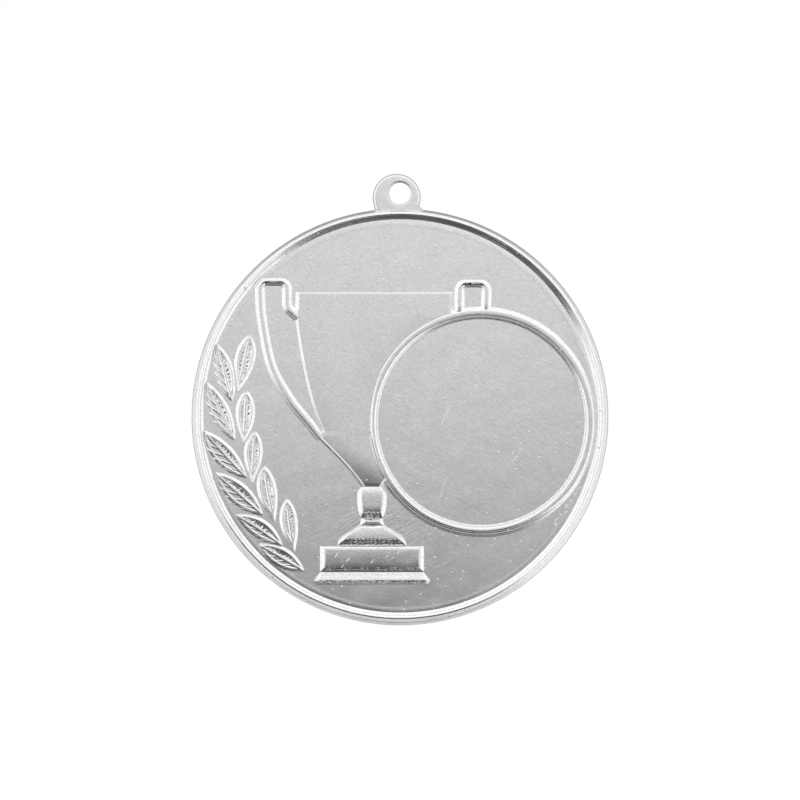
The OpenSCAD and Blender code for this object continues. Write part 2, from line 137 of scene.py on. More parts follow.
class MedalPlateSizes(PropertyGroup):
    groove_w: length("Groove width", "Width of the shallow groove at the rim's foot", 0.75)
    groove_d: length("Groove depth", "Depth of that groove", 0.024)
    seat_depth: length("Seat depth", "Depth of the insert's seat below the field", 0.25)
    unevenness: length("Unevenness", "Height of the gentle waves that striking leaves in a flat face", 0.0035)
    back_border_w: length("Back border", "Width of the flat border round the back", 1.7)
    back_dish: length("Back dish", "Depth of the dish in the back", 0.25)
    edge_round: length("Edge rounding", "Rounding of the edge at the back", 0.3)


class MedalRimSizes(PropertyGroup):
    edge_r: length("Edge rounding", "Radius over which the rim's outer slope turns into the edge", 0.42)
    outer_w: length("Outer slope", "Width of the rim's outer slope", 0.36)
    outer_tilt: angle("Outer tilt", "Tilt of the outer slope", 48)
    shoulder_w: length("Shoulder", "Width over which the crest rounds to the outer slope", 0.3)
    crest_r: length("Crest radius", "Radius of the crest on its inner side", 0.08)
    inner_w: length("Inner slope", "Width of the inner slope's upper half", 0.21)
    inner_tilt: angle("Inner tilt", "Tilt of the inner slope's upper half", 37.5)
    land_w: length("Land", "Width of the narrow level strip between the inner slope's halves", 0.07)
    foot_w: length("Foot", "Width of the inner slope's lower half", 0.29)
    foot_tilt: angle("Foot tilt", "Tilt of that lower half", 36.5)
    struck_up: length("Struck off centre", "How far the crest is struck above the middle of the edge", 0.13)
    waver: length("Waver", "Height of the long waves in which the crest wavers", 0.012)
    notch_d: length("Notch", "Depth of the notch in the crest at the upper left", 0.09)


class MedalLoopSizes(PropertyGroup):
    thickness: length("Thickness", "Thickness of the loop", 1.6)
    hole_d: length("Hole", "Diameter of the loop's hole", 2.6)
    eye_shift: length("Eye shift", "How far the loop's outline is struck to the left of its hole", 0.4)
    inset: length("Inset", "How far the outline lies inside the loop's box, as its edge is rounded", 0.08)
    chamfer: length("Chamfer", "Width of the bevel round the loop's face", 0.34)
    hole_chamfer: length("Hole bevel", "Width of the bevel round the hole", 0.14)
    fillet: length("Fillet", "Softness of the corner between the loop and the edge", 0.35)


class MedalBezelSizes(PropertyGroup):
    seat_r: length("Seat radius", "Radius of the straight wall that holds the insert", 12.6)
    wall_h: length("Wall height", "Height up to which that wall is straight", 0.14)
    mouth_w: length("Mouth width", "Width of the bevel at the seat's mouth", 0.27)
    flat_w: length("Flat top", "Width of the flat top", 0.41)
    slope_w: length("Slope width", "Width of the outer slope", 0.55)
    ledge_shift: length("Ledge shift", "How far the ledge's outline is struck to the left of the bezel", 0.24)
    ledge_drop: length("Ledge drop", "How far the ledge's outline is struck below the bezel", 0.17)
    ledge_h: length("Ledge height", "Height of the ledge at the bezel's lower left", 0.17)


class MedalCupSizes(PropertyGroup):
    edge_w: length("Side slope", "Width of the bowl's sloping side", 0.36)
    lip_patch: factor("Lip patch", "How much wider that slope is beside the hook's end", 0.8, 2)
    lip_slope_w: length("Lip slope", "Width of the slope over the lip", 0.2)
    handle_w: length("Handle width", "Width of a handle", 1.24)
    handle_flank: factor("Handle flank", "Width of a handle's flank as a share of its width", 0.42, 0.45)
    handle_bend: length("Handle bend", "Radius of a handle's bends, to its middle line", 0.65)
    hook_gap: length("Hook gap", "Distance of the hook's leg from the lip", 0.95)
    welt_w: length("Welt width", "Width of the inner slope of the welt along the cone's edges", 0.2)
    welt_h: length("Welt height", "Height of that welt over the bowl's face", 0.08)
    stand_slope_w: length("Stand slope", "Width of the sloping sides of the stand's pieces", 0.78)


class MedalLaurelSizes(PropertyGroup):
    spray_inset: length("Spray inset", "Distance of the spray's line from the rim", 3.7)
    rim_w: length("Rim width", "Width of the rim that the spray is set out from", 1.3)
    body_h: length("Body height", "Height up to which a leaf's edges rise", 0.26)
    vein_h: length("Vein height", "Height of a side vein over the leaf's body", 0.045)
    veins: IntProperty(name="Veins", description="Number of side veins on a leaf", default=6, min=2, max=9)
    vein_slope: factor("Vein slope", "How far a vein rises to the edge, as a share of the leaf's length", 0.3)
    bead: factor("Bead", "How far the bead along the edge stands out", 0.85)


class MedalFinish(PropertyGroup):
    silver: FloatVectorProperty(name="Silver", description="Colour of the plating", default=SILVER, size=3,
                                subtype="COLOR", min=0, max=1)
    roughness: factor("Roughness", "Roughness of the flat faces", 0.25)
    grain: factor("Grain", "Strength of the fine grain", 0.35)
    nicks: BoolProperty(name="Nicks", description="Small nicks from handling", default=True)


class MedalStudio(PropertyGroup):
    lens: FloatProperty(name="Lens", description="Focal length of the camera", default=250.0, unit="CAMERA")
    view_w: length("View width", "Width of the view at the medal", 95.92)
    view_rise: length("View rise", "Height of the view's middle above the plate's middle", 2.03)
    front_tone: factor("Front card", "Tone of the card behind the camera", 0.72, 2)
    side_light: factor("Side light", "Tone of the soft panels at the sides and above", 1.3, 5)
    low_tone: factor("Low card", "Tone of the dark card low in front", 0.08)
    corner_tone: factor("Corner card", "Tone of the small grey card low at the right", 0.42)
    back_tone: factor("Back ring", "Tone of the grey ring behind", 0.34)
    right_tone: factor("Right card", "Tone of the grey card at the right", 0.85)


GROUPS = {
    "medal_plate_sizes": MedalPlateSizes,
    "medal_rim_sizes": MedalRimSizes,
    "medal_loop_sizes": MedalLoopSizes,
    "medal_bezel_sizes": MedalBezelSizes,
    "medal_cup_sizes": MedalCupSizes,
    "medal_laurel_sizes": MedalLaurelSizes,
    "medal_finish": MedalFinish,
    "medal_studio": MedalStudio,
}


class Values:
    """A property group's values, with its lengths in millimetres."""

    def __init__(self, group):
        for key, prop in group.bl_rna.properties.items():
            if key in ("rna_type", "name"):
                continue
            value = getattr(group, key)
            if getattr(prop, "unit", "") == "LENGTH":
                value /= MM
            setattr(self, key, value)


def values(name):
    """The values of the scene's property group of that name."""
    return Values(getattr(bpy.context.scene, name))


# ---- Curves and surfaces ----

# How far a form that stands on the field reaches below it, in millimetres
SINK = 0.05
# Heights of the waves that striking leaves in the raised faces, and of the lumps in the stand's lower faces
BEZEL_WAVE_H = 0.006
BOWL_WAVE_H = 0.003
STAND_WAVE_H = 0.003
STAND_LUMP_H = 0.032


def ramp(a, b, x):
    """Rises smoothly from 0 at a to 1 at b: the cubic 3t^2 - 2t^3 of the share t of the way."""
    t = np.clip((x - a) / (b - a), 0.0, 1.0)
    return t * t * (3 - 2 * t)


def flank(t, foot=0.12, top=0.25):
    """A straight flank's height over the share t of its width: its slope grows over a short foot, stays the
    same and fades over a rounded shoulder."""
    t = np.clip(t, 0, 1)
    rise = np.where(t < foot, t**2 / (2 * foot), t - foot / 2)
    rise = np.where(t > 1 - top, 1 - foot / 2 - top / 2 - (1 - t) ** 2 / (2 * top), rise)
    return rise / (1 - foot / 2 - top / 2)


def soft_lower(a, b, softness):
    """The lower of two heights, with the corner between them rounded: half of their sum less the root of
    their squared difference and a small softness."""
    return (a + b - np.sqrt((a - b) ** 2 + softness)) / 2


def smooth_curve(points, steps):
    """A smooth open curve through the points: a cubic between each two, whose slope at a point is half the
    chord between that point's neighbours."""
    p = np.asarray(points, float)
    before = np.vstack([p[:1], p[:-2]])
    after = np.vstack([p[2:], p[-1:]])
    t = (np.arange(steps) / steps)[None, :, None]
    a, b, before, after = (q[:, None, :] for q in (p[:-1], p[1:], before, after))
    curve = 0.5 * (2 * a + (b - before) * t + (2 * before - 5 * a + 4 * b - after) * t**2
                   + (3 * a - before - 3 * b + after) * t**3)
    return np.vstack([curve.reshape(-1, p.shape[1]), p[-1:]])


def arc(middle, radius, start, end, steps):
    """Points of an arc about middle, from one angle to another, in degrees."""
    t = np.radians(np.linspace(start, end, steps + 1))
    return np.asarray(middle, float) + radius * np.stack([np.cos(t), np.sin(t)], -1)


def evenly(path, step):
    """The same path with points about a step apart, by linear interpolation over its length."""
    gaps = np.linalg.norm(np.diff(path, axis=0), axis=1)
    far = np.concatenate([[0], np.cumsum(gaps)])
    at = np.linspace(0, far[-1], int(math.ceil(far[-1] / step)) + 1)
    return np.stack([np.interp(at, far, path[:, k]) for k in range(path.shape[1])], -1)


def eased(path, times):
    """The same path with its corners eased: each pass moves a point halfway to its neighbours' middle."""
    p = np.array(path, float)
    for _ in range(times):
        p[1:-1] = 0.5 * p[1:-1] + 0.25 * (p[:-2] + p[2:])
    return p


def across(path):
    """Unit vectors to the left of a path, at right angles to the chord between a point's neighbours."""
    d = np.gradient(path, axis=0)
    return np.stack([-d[:, 1], d[:, 0]], -1) / np.linalg.norm(d, axis=1)[:, None]


def waves(x, y, span, seed, count=9):
    """Unevenness of about -1 to 1: twice the mean of some sine waves, about a span long, in seeded
    directions."""
    rng = np.random.default_rng(seed)
    total = np.zeros(np.broadcast(x, y).shape)
    for _ in range(count):
        turn, shift, stretch = rng.uniform(0, 2 * np.pi), rng.uniform(0, 2 * np.pi), rng.uniform(0.7, 1.4)
        total += np.sin((x * np.cos(turn) + y * np.sin(turn)) * 2 * np.pi / (span * stretch) + shift)
    return total / (count / 2)


def stood(p):
    """Lying points to the frame: x stays, y goes up and h goes out of the face, towards -Y."""
    return np.stack([p[..., 0] + size.middle_x, size.field_y - p[..., 2], p[..., 1] + size.middle_z], -1) * MM


def grid_faces(rows, cols, wrap_rows=False, wrap_cols=False):
    """Four-sided faces between the rows and columns of a grid of points, which may close on itself."""
    i, j = np.meshgrid(np.arange(rows - (not wrap_rows)), np.arange(cols - (not wrap_cols)), indexing="ij")
    i2, j2 = (i + 1) % rows, (j + 1) % cols
    return np.stack([i * cols + j, i * cols + j2, i2 * cols + j2, i2 * cols + j], -1).reshape(-1, 4).tolist()


def ring_solid(rings, closed=False):
    """Points and faces of a surface through rings of points: closed like a tyre, or with a pole at each
    end."""
    n, m = rings.shape[:2]
    if closed:
        return rings.reshape(-1, 3), grid_faces(n, m, True, True)
    points = np.vstack([rings.reshape(-1, 3), rings[0].mean(0), rings[-1].mean(0)])
    faces = grid_faces(n, m, False, True)
    last = (n - 1) * m
    faces += [[n * m, (j + 1) % m, j] for j in range(m)]
    faces += [[n * m + 1, last + j, last + (j + 1) % m] for j in range(m)]
    return points, faces


def field_solid(rows, depth=2 * SINK):
    """Points and faces of a form that stands on the field: its face is the rows, each run from left to
    right, and walls go straight down from the face's outline to a flat underside at that depth."""
    n, m = rows.shape[:2]
    left, right = rows[:, 0].copy(), rows[:, -1].copy()
    left[:, 2] = right[:, 2] = -depth
    points = np.vstack([rows.reshape(-1, 3), left, right])
    lb, rb = n * m, n * m + n
    faces = grid_faces(n, m)
    for i in range(n - 1):
        faces.append([i * m, (i + 1) * m, lb + i + 1, lb + i])
        faces.append([(i + 1) * m + m - 1, i * m + m - 1, rb + i, rb + i + 1])
        faces.append([lb + i, lb + i + 1, rb + i + 1, rb + i])
    last = (n - 1) * m
    faces += [[lb, j + 1, j] for j in range(m - 1)]
    faces += [[lb, rb, m - 1]]
    faces += [[lb + n - 1, last + j, last + j + 1] for j in range(m - 1)]
    faces += [[lb + n - 1, last + m - 1, rb + n - 1]]
    return points, faces


def make_piece(name, solid, node, finish):
    """Makes the mesh of a closed solid in the frame, faces outwards, and lets it stand for a CAD node."""
    points, faces = solid
    mesh = bpy.data.meshes.new(name)
    mesh.from_pydata(stood(points).tolist(), [], faces)
    form = bmesh.new()
    form.from_mesh(mesh)
    bmesh.ops.recalc_face_normals(form, faces=form.faces)
    if not all(edge.is_manifold for edge in form.edges):
        raise RuntimeError(f"{name} isn't closed")
    form.to_mesh(mesh)
    form.free()
    mesh.polygons.foreach_set("use_smooth", np.ones(len(mesh.polygons), bool))
    mesh.materials.append(finish)
    piece = bpy.data.objects.new(name, mesh)
    bpy.context.scene.collection.objects.link(piece)
    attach(piece, "root")
    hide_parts(node)
    return piece


# ---- Plate, rim and loop ----

def ring_points(middles, radii, heights, columns=432):
    """Circles as rows of points: each has its middle, its radius and its height."""
    t = np.linspace(0, 2 * np.pi, columns, endpoint=False)
    middles = np.asarray(middles, float)
    radii = np.asarray(radii, float)[:, None]
    x = middles[:, 0:1] + radii * np.cos(t)
    y = middles[:, 1:2] + radii * np.sin(t)
    return np.stack([x, y, np.broadcast_to(np.asarray(heights, float)[:, None], x.shape)], -1)


def seat_middle():
    """The middle of the insert's seat: the bezel's box without the ledge that is struck to its left and
    below."""
    b = values("medal_bezel_sizes")
    x = (size.bezel.left + b.ledge_shift + size.bezel.right) / 2
    y = (size.bezel.low + b.ledge_drop + size.bezel.high) / 2
    return np.array([x, y])


def plate_form():
    """The plate is one surface of rings: over the seat's floor, then over the field, where each ring's
    middle slides from the seat's to the medal's while its radius grows, then down the edge and in over the
    back. A row is (the share of the way from the medal's middle to the seat's, radius, height)."""
    s, b = values("medal_plate_sizes"), values("medal_bezel_sizes")
    back = -size.plate_t
    field_r = rim_foot()
    groove_r = field_r - s.groove_w
    under_bezel = b.seat_r + 0.15
    under_rim = size.medal_r - 0.3
    border = size.medal_r - s.back_border_w
    dish_r, dish_h = border - s.back_dish, back + s.back_dish

    # seat floor, field, groove, hidden step under the rim, edge, border, dish
    rows = [(1, r, -s.seat_depth) for r in np.linspace(0.3, b.seat_r, 42)]
    rows += [(1, b.seat_r, -SINK), (1, under_bezel, 0)]
    rows += [(1 - v, under_bezel + v * (groove_r - under_bezel), 0) for v in np.linspace(0, 1, 96)[1:]]
    rows += [(0, groove_r + v * s.groove_w, -s.groove_d * (v**3 - 0.35 * math.sin(math.pi * v)))
             for v in np.linspace(0, 1, 11)[1:]]
    rows += [(0, under_rim, -0.02), (0, under_rim, -0.4)]
    rows += [(0, size.medal_r, h) for h in (-0.45, -0.6, back + s.edge_round + 0.3)]
    rounding = arc((size.medal_r - s.edge_round, back + s.edge_round), s.edge_round, 0, -90, 8)
    rows += [(0, r, h) for r, h in rounding]
    rows += [(0, border, back), (0, border - 0.1, back + 0.03)]
    rows += [(0, dish_r, dish_h - 0.03), (0, dish_r - 0.1, dish_h)]
    rows += [(0, r, dish_h) for r in np.linspace(dish_r - 0.6, 0.4, 22)]
    rows = np.array(rows)

    rings = ring_points(rows[:, 0:1] * seat_middle(), rows[:, 1], rows[:, 2])
    x, y, h = rings[..., 0], rings[..., 1], rings[..., 2]
    from_middle = np.hypot(x, y)
    on_face = ramp(-1.0, -0.6, h) * ramp(field_r + 0.1, field_r - 1.2, from_middle)
    on_back = ramp(-1.0, -1.4, h) * ramp(border, border - 1, from_middle)
    face_waves = waves(x, y, span=4.2, seed=5) + 0.35 * waves(x, y, span=1.5, seed=8)
    back_waves = 1.6 * waves(x, y, span=3.4, seed=6)
    rings[..., 2] += s.unevenness * (on_face * face_waves + on_back * back_waves)
    return ring_solid(rings)


def rim_profile():
    """The rim's section from the edge inwards as (radius, height): a rounded edge, an outer slope, a
    shoulder whose slope grows with the root of the way from the crest, and an inner slope down to the
    field, with a narrow level strip between its halves."""
    r = values("medal_rim_sizes")
    out, steep, low = r.outer_tilt, r.inner_tilt, r.foot_tilt
    edge_w = r.edge_r * (1 - math.sin(out))
    crest_x = size.medal_r - edge_w - r.outer_w - r.shoulder_w
    t = np.linspace(1, 0, 10)[:, None]
    shoulder_fall = r.shoulder_w * math.tan(out) / 1.5
    shoulder = np.array([crest_x, size.rim.h]) + t * [r.shoulder_w, 0] - t**1.5 * [0, shoulder_fall]
    outer_ends = np.array([[r.outer_w, -r.outer_w * math.tan(out)], [0, 0]])
    outer = evenly(shoulder[0] + outer_ends, 0.06)[:-1]
    edge_middle = outer[0] - r.edge_r * np.array([math.sin(out), math.cos(out)])
    edge = arc(edge_middle, r.edge_r, 0, 90 - math.degrees(out), 10)[:-1]
    crest = arc((crest_x, size.rim.h - r.crest_r), r.crest_r, 90, 90 + math.degrees(steep), 6)
    knee = crest[-1] - r.inner_w * np.array([1, math.tan(steep)])
    land = knee - [r.land_w, 0]
    foot = land - r.foot_w * np.array([1, math.tan(low)])
    under = foot - 0.12 * np.array([1 / math.tan(low), 1])
    inner = evenly(np.array([crest[-1], knee, land, foot, under]), 0.04)[1:]
    return np.vstack([edge, outer, shoulder, crest[1:], inner])


def rim_foot():
    """The radius at which the rim's inner slope meets the field."""
    p = rim_profile()
    inner = p[np.argmax(p[:, 1]):]
    return float(np.interp(0, inner[::-1, 1], inner[::-1, 0]))


def rim_form():
    """The rim's section turned about the medal's middle, with a closed underside below the field. Its crest
    wavers a little, as a struck rim does, and has one notch at the upper left."""
    r = values("medal_rim_sizes")
    p = eased(rim_profile(), 2)
    underside = p[0, 1] - 0.25
    section = np.vstack([[size.medal_r, underside], p, [p[-1, 0], underside]])
    section[1, 0] = size.medal_r
    rings = ring_points(np.zeros((len(section), 2)), section[:, 0], section[:, 1], columns=600)
    t = np.arctan2(rings[..., 1], rings[..., 0])

    def bump(degrees, width):
        """A bell of height 1 over the edge's length, of that width."""
        return np.exp(-((t - math.radians(degrees)) * size.medal_r / width) ** 2)

    rings[..., 1] += r.struck_up * ramp(size.medal_r, size.medal_r - 0.5, section[:, 0])[:, None]
    waver = np.sin(7 * t + 1) + 2 / 3 * np.sin(19 * t) + 1 / 3 * np.sin(61 * t + 2)
    notch = bump(141, 0.16) - 0.4 * bump(140, 0.2)
    rings[..., 2] += ramp(0.05, size.rim.h, rings[..., 2]) * (r.waver * waver - r.notch_d * notch)
    return ring_solid(rings, closed=True)


def loop_outline(hole, ray):
    """How far the loop's outline lies from the hole's middle along each ray. It is the end of the soft
    union of the loop's circle and the medal's edge, whose distance outside is a softened least of theirs,
    found by halving."""
    s = values("medal_loop_sizes")
    loop_r = size.loop.width / 2 - s.inset
    eye = np.array([-s.eye_shift, size.loop.high - s.inset - loop_r])

    def outside(far):
        p = hole + far[:, None] * ray
        loop = np.linalg.norm(p - eye, axis=1) - loop_r
        edge = np.linalg.norm(p, axis=1) - size.medal_r
        return -s.fillet / 2 * np.logaddexp(-2 * loop / s.fillet, -2 * edge / s.fillet)

    # from just outside the hole to well past the loop
    least, most, inside_plate = 1.4, 4.2, 3.6
    near, far = np.full(len(ray), least), np.full(len(ray), most)
    for _ in range(40):
        half = (near + far) / 2
        inside = outside(half) < 0
        near, far = np.where(inside, half, near), np.where(inside, far, half)
    return np.minimum(near, inside_plate)


def loop_form():
    """The loop is a closed band round its hole: along each ray from the hole's middle it runs up the hole's
    wall, over its bevel and the face, down the bevelled outline and back under."""
    s = values("medal_loop_sizes")
    hole = np.array([0.0, size.hole_y])
    t = np.linspace(0, 2 * np.pi, 240, endpoint=False)
    ray = np.stack([np.cos(t), np.sin(t)], -1)
    face, back, wall = size.loop.h, size.loop.h - s.thickness, s.hole_d / 2
    bevel = s.hole_chamfer
    face_from = wall + bevel + 0.1
    face_to = loop_outline(hole, ray) - s.chamfer

    def ring(far, height):
        """The points at those distances along the rays, at one height."""
        return np.column_stack([hole + np.reshape(far, (-1, 1)) * ray, np.full(len(t), height)])

    rings = [ring(wall, back + 0.12), ring(wall, face - bevel - 0.1)]
    rings += [ring(wall + 0.02, face - bevel * 0.6), ring(wall + bevel * 0.5, face - bevel * 0.16)]
    rings += [ring(wall + bevel, face), ring(face_from, face + 0.01)]
    for v in np.linspace(0, 1, 8)[1:]:
        rings.append(ring(face_from + v * np.maximum(face_to - face_from, 0.02), face + 0.012 * (1 - v)))
    # the outer bevel, by shares of its width across and down
    for v, drop in ((0.12, 0.03), (0.35, 0.2), (0.65, 0.52), (0.88, 0.85), (1, 1.3), (1, 2.2)):
        rings.append(ring(np.maximum(face_to, face_from + 0.03) + v * s.chamfer, face - s.chamfer * drop))
    for v, h in ((1, back + 0.25), (0.97, back + 0.08), (0.85, back)):
        rings.append(ring(face_to + s.chamfer * v, h))
    rings.append(ring(wall + 0.1, back))
    rings = np.array(rings)
    # inside the plate the loop's back sinks in, so that the two backs don't share a plane
    sunk = 0.1
    inside = ramp(size.medal_r - 0.1, size.medal_r - 0.4, np.hypot(rings[..., 0], rings[..., 1]))
    rings[..., 2] += sunk * inside * (rings[..., 2] < back + 0.3)
    return ring_solid(rings, closed=True)


# ---- Insert seat ----

def bezel_form():
    """The bezel's section turned about the seat's middle: the seat's straight wall, an inner slope, a flat
    top and an outer slope. Towards the lower left the outer slope has a ledge: there its points move over
    to a stepped section, by a share that is greatest in the direction of the throw."""
    s = values("medal_bezel_sizes")
    depth = values("medal_plate_sizes").seat_depth
    seat, wall, top = seat_middle(), s.seat_r, size.bezel.h
    inner = wall + s.mouth_w
    outer = inner + s.flat_w
    foot = outer + s.slope_w
    ledge_w, ledge_turn = 0.27, math.radians(22)

    mouth = [[wall - 0.2, -depth - 0.01], [wall - 0.13, -depth + 0.015], [wall - 0.06, -depth + 0.06],
             [wall - 0.015, -depth + 0.14], [wall, 0.0], [wall + 0.004, s.wall_h - 0.03]]
    mouth += [[wall + 0.01 + v * s.mouth_w, s.wall_h + (top - s.wall_h) * flank(0.06 + 0.94 * v)]
              for v in np.linspace(0, 1, 8)]
    flat = [[inner + 0.1, top], [(inner + outer) / 2 - 0.08, top + 0.004]]
    slope = [[outer + (1 - v) * s.slope_w, top * flank(v)] for v in np.linspace(1, 0, 14)]
    plain = np.array(mouth + flat + slope + [[foot + 0.08, -0.03]])
    # the ledge's section: two short slopes with a narrow step between them
    down = np.linspace(1, 0, 6)
    upper = [[outer + 0.05 - v * ledge_w, s.ledge_h + (top - s.ledge_h) * flank(v)] for v in down]
    step = [[outer + 0.1, s.ledge_h - 0.014], [outer + 0.2, s.ledge_h + 0.006]]
    lower = [[outer + 0.25 + (1 - v) * ledge_w, s.ledge_h * flank(v)] for v in down]
    ledge = np.array(mouth + flat + upper + step + lower + [[foot + 0.2, -0.03]])

    t = np.linspace(0, 2 * np.pi, 480, endpoint=False)
    throw = math.atan2(-s.ledge_drop, -s.ledge_shift) + ledge_turn
    share = ramp(0.05, 0.55, np.cos(t - throw))
    section = plain[:, None] * (1 - share)[None, :, None] + ledge[:, None] * share[None, :, None]
    radius, h = section[..., 0], section[..., 1]
    x, y = seat[0] + radius * np.cos(t), seat[1] + radius * np.sin(t)
    h = h + BEZEL_WAVE_H * ramp(0.3, top, h) * waves(x, y, span=2.2, seed=21)
    rings = np.stack([x, y, h], -1)
    under = rings[[-1, 0]].copy()
    under[..., 2] = -depth - 0.1
    return ring_solid(np.concatenate([rings, under]), closed=True)


def bezel_edge(y, radius):
    """The left side of a circle about the seat's middle, at height y, or nowhere (infinity) past its ends."""
    seat = seat_middle()
    room = radius**2 - (y - seat[1]) ** 2
    return np.where(room > 0, seat[0] - np.sqrt(np.maximum(room, 0)), np.inf)


# ---- Cup ----

# The bowl's side from the knop upwards, as shares of its length and of the lip's half width
BOWL_CONE = [[0, 0.14], [0.03, 0.19], [0.12, 0.375], [0.26, 0.715]]
BOWL_WALL = [[0.285, 0.64], [0.44, 0.78], [0.65, 0.905], [0.87, 0.993], [1, 1]]
# The bowl's height beside its sides, as a share of its greatest height, and how much its crown adds to that
BOWL_SIDE_H = 0.78
BOWL_CROWN = 0.27
# How far the bowl rolls down over its lowest fifth, and how far more just over the knop, as shares of its
# height
BOWL_ROLL = 0.66
KNOP_ROLL = 0.22
# A handle's long leg, as shares of its reach outwards from the lip and of the bowl's length down from it
HANDLE_LEG = [[-0.75, 0.75], [-0.43, 0.677], [0.175, 0.543], [0.68, 0.374], [0.95, 0.133], [1, 0]]
# Where the points lie over a side slope, as shares of its width, closer together where it bends
SLOPE_POINTS = [0, 0.06, 0.12, 0.22, 0.34, 0.48, 0.62, 0.75, 0.82, 0.88, 0.94, 1.0]


def cone_top():
    """Height at which the bowl's cone ends and its wall begins."""
    return size.bowl_bottom + BOWL_CONE[-1][0] * size.bowl_length


def bowl_form():
    """The bowl's face in rows from the knop to the lip: a crowned sheet between two sides, over which it
    rounds down to the field. It rolls down to the knop at its foot, and ends inside the bezel on the right.
    A welt follows the cone's edges."""
    s = values("medal_cup_sizes")
    bottom, lip = size.bowl_bottom, size.bowl.high
    from_bottom = bottom + np.array([-0.06, -0.02, 0.02, 0.06, 0.12, 0.2, 0.3])
    from_lip = lip - np.array([0.4, 0.3, 0.22, 0.16, 0.11, 0.07, 0.035, 0, -0.03, -0.07])
    y = np.concatenate([from_bottom, np.linspace(bottom + 0.4, lip - 0.5, 170), from_lip])

    side = np.vstack([smooth_curve(BOWL_CONE, 24), smooth_curve(BOWL_WALL, 24)])
    up = np.clip((y - bottom) / size.bowl_length, 0, 1)
    half = np.interp(up, side[:, 0], side[:, 1]) * size.bowl.width / 2
    middle = size.stem_x + (size.bowl.middle - size.stem_x) * up
    left = middle - half
    right = np.minimum(middle + half, bezel_edge(y, values("medal_bezel_sizes").seat_r + 0.45))
    span = (right - left)[:, None]
    # the side slope is wider beside the hook's end
    patch = ramp(2.35, 1.9, lip - y) * ramp(0.0, 0.1, lip - y)
    slope_w = np.minimum(s.edge_w * (1 + s.lip_patch * patch)[:, None], span * 0.3)
    steps = np.array([-0.12] + SLOPE_POINTS)
    inside = np.linspace(0, 1, 62)[None, 1:-1] * (span - 2 * slope_w)
    from_left = np.concatenate([steps * slope_w, slope_w + inside, span - steps[::-1] * slope_w], 1)
    x = left[:, None] + from_left
    yy = np.broadcast_to(y[:, None], x.shape)

    from_side = np.minimum(from_left, span - from_left)
    to_side = from_side / slope_w
    to_lip = (lip - yy) / s.lip_slope_w
    edges = flank(to_side) * flank(to_lip)
    lowest = np.clip(1 - (yy - bottom) / (0.2 * size.bowl_length), 0, 1)
    roll = 1 - BOWL_ROLL * lowest**2.5 - KNOP_ROLL * ramp(0.4, 0, yy - bottom)
    crown = 1 + BOWL_CROWN * (1 - (2 * from_left / span - 1) ** 2)
    h = size.bowl.h * BOWL_SIDE_H * roll * edges * crown
    past_slope = from_side - slope_w
    welt = ramp(s.welt_w, 0, past_slope) * ramp(-0.6, -0.1, past_slope / slope_w)
    h += s.welt_h * welt * ramp(cone_top(), cone_top() - 0.3, yy) * flank(to_lip)
    h -= SINK * ((to_side < 0) | (to_lip < 0) | (yy < bottom - 0.03))
    h += BOWL_WAVE_H * edges * waves(x, yy, span=3.6, seed=31)
    return field_solid(np.stack([x, yy, h], -1))


def handle_line(mirrored):
    """A handle's middle line: up the long leg, over the top and down the hook to the bowl. The right handle
    is the left one's mirror image about the bowl, moved to where its box lies."""
    s = values("medal_cup_sizes")
    lip_left, b = size.bowl.left, s.handle_bend
    reach = lip_left - size.left_handle.left - s.handle_w / 2
    top = size.left_handle.high - s.handle_w / 2
    hook = lip_left - s.hook_gap
    leg = [[lip_left - reach * x, size.bowl.high - size.bowl_length * y] for x, y in HANDLE_LEG]
    line = [smooth_curve(leg, 10)]
    line += [arc((lip_left - reach + b, top - b), b, 180, 90, 8), arc((hook - b, top - b), b, 90, 0, 8)]
    if mirrored:
        line += [[[hook, top - 5 * b]]]
    else:
        line += [arc((hook + 2 * b, top - 3.6 * b), 2 * b, 180, 225, 8), [[hook + 1.9 * b, top - 6.3 * b]]]
    line = eased(evenly(np.vstack(line), 0.1), 3)
    if mirrored:
        line[:, 0] = size.right_handle.right - (line[:, 0] - size.left_handle.left)
        line[:, 1] += size.right_handle.high - size.left_handle.high
        line = line[::-1]
    return line


def ridge_rows(line, w, h, flank_w, shares):
    """Rows across a ridge along a line: flat on its narrow top and falling off over straight flanks, whose
    width is a share of the ridge's, and as high at each point of the line as its share says. Where the line
    runs level the flat top closes, from the right."""
    t = np.concatenate([np.linspace(0, 0.6, 7), np.linspace(0.7, 1, 6)])
    u = np.concatenate([0.5 - t * flank_w, np.linspace(0.5 - flank_w, 0, 4)[1:]])
    up = np.concatenate([flank(t, 0.12, 0.4), np.ones(3)])
    outside = 0.53
    u = np.concatenate([[outside], u, -u[-2::-1], [-outside]])
    up = np.concatenate([[-SINK / h], up, up[-2::-1], [-SINK / h]])
    left = across(line)
    # the left normal points up or down where the line runs level
    closed = 0.25 * left[:, 1:2] ** 6
    p = line[:, None] + ((u + closed * (u < 0)) * w)[..., None] * left[:, None]
    return np.concatenate([p, (shares[:, None] * up[None] * h)[..., None]], -1)


def handle_form(mirrored):
    """A handle is a ridge along its middle line. The left one begins where the bowl's cone ends. The right
    one ends inside the bezel and is lower beside it."""
    s = values("medal_cup_sizes")
    line = handle_line(mirrored)
    if mirrored:
        seat_r = values("medal_bezel_sizes").seat_r
        far = np.linalg.norm(line - seat_middle(), axis=1)
        keep = far > seat_r + 0.55
        shares = 0.75 + 0.25 * ramp(seat_r + 0.5, seat_r + 1.6, far)
    else:
        keep = line[:, 1] > cone_top() - 0.5
        shares = np.ones(len(line))
    return field_solid(ridge_rows(line[keep], s.handle_w, size.left_handle.h, s.handle_flank, shares[keep]))


# ---- Stand ----

# How soft the mitred corners of the stand's pieces are
STAND_CORNER = 0.004
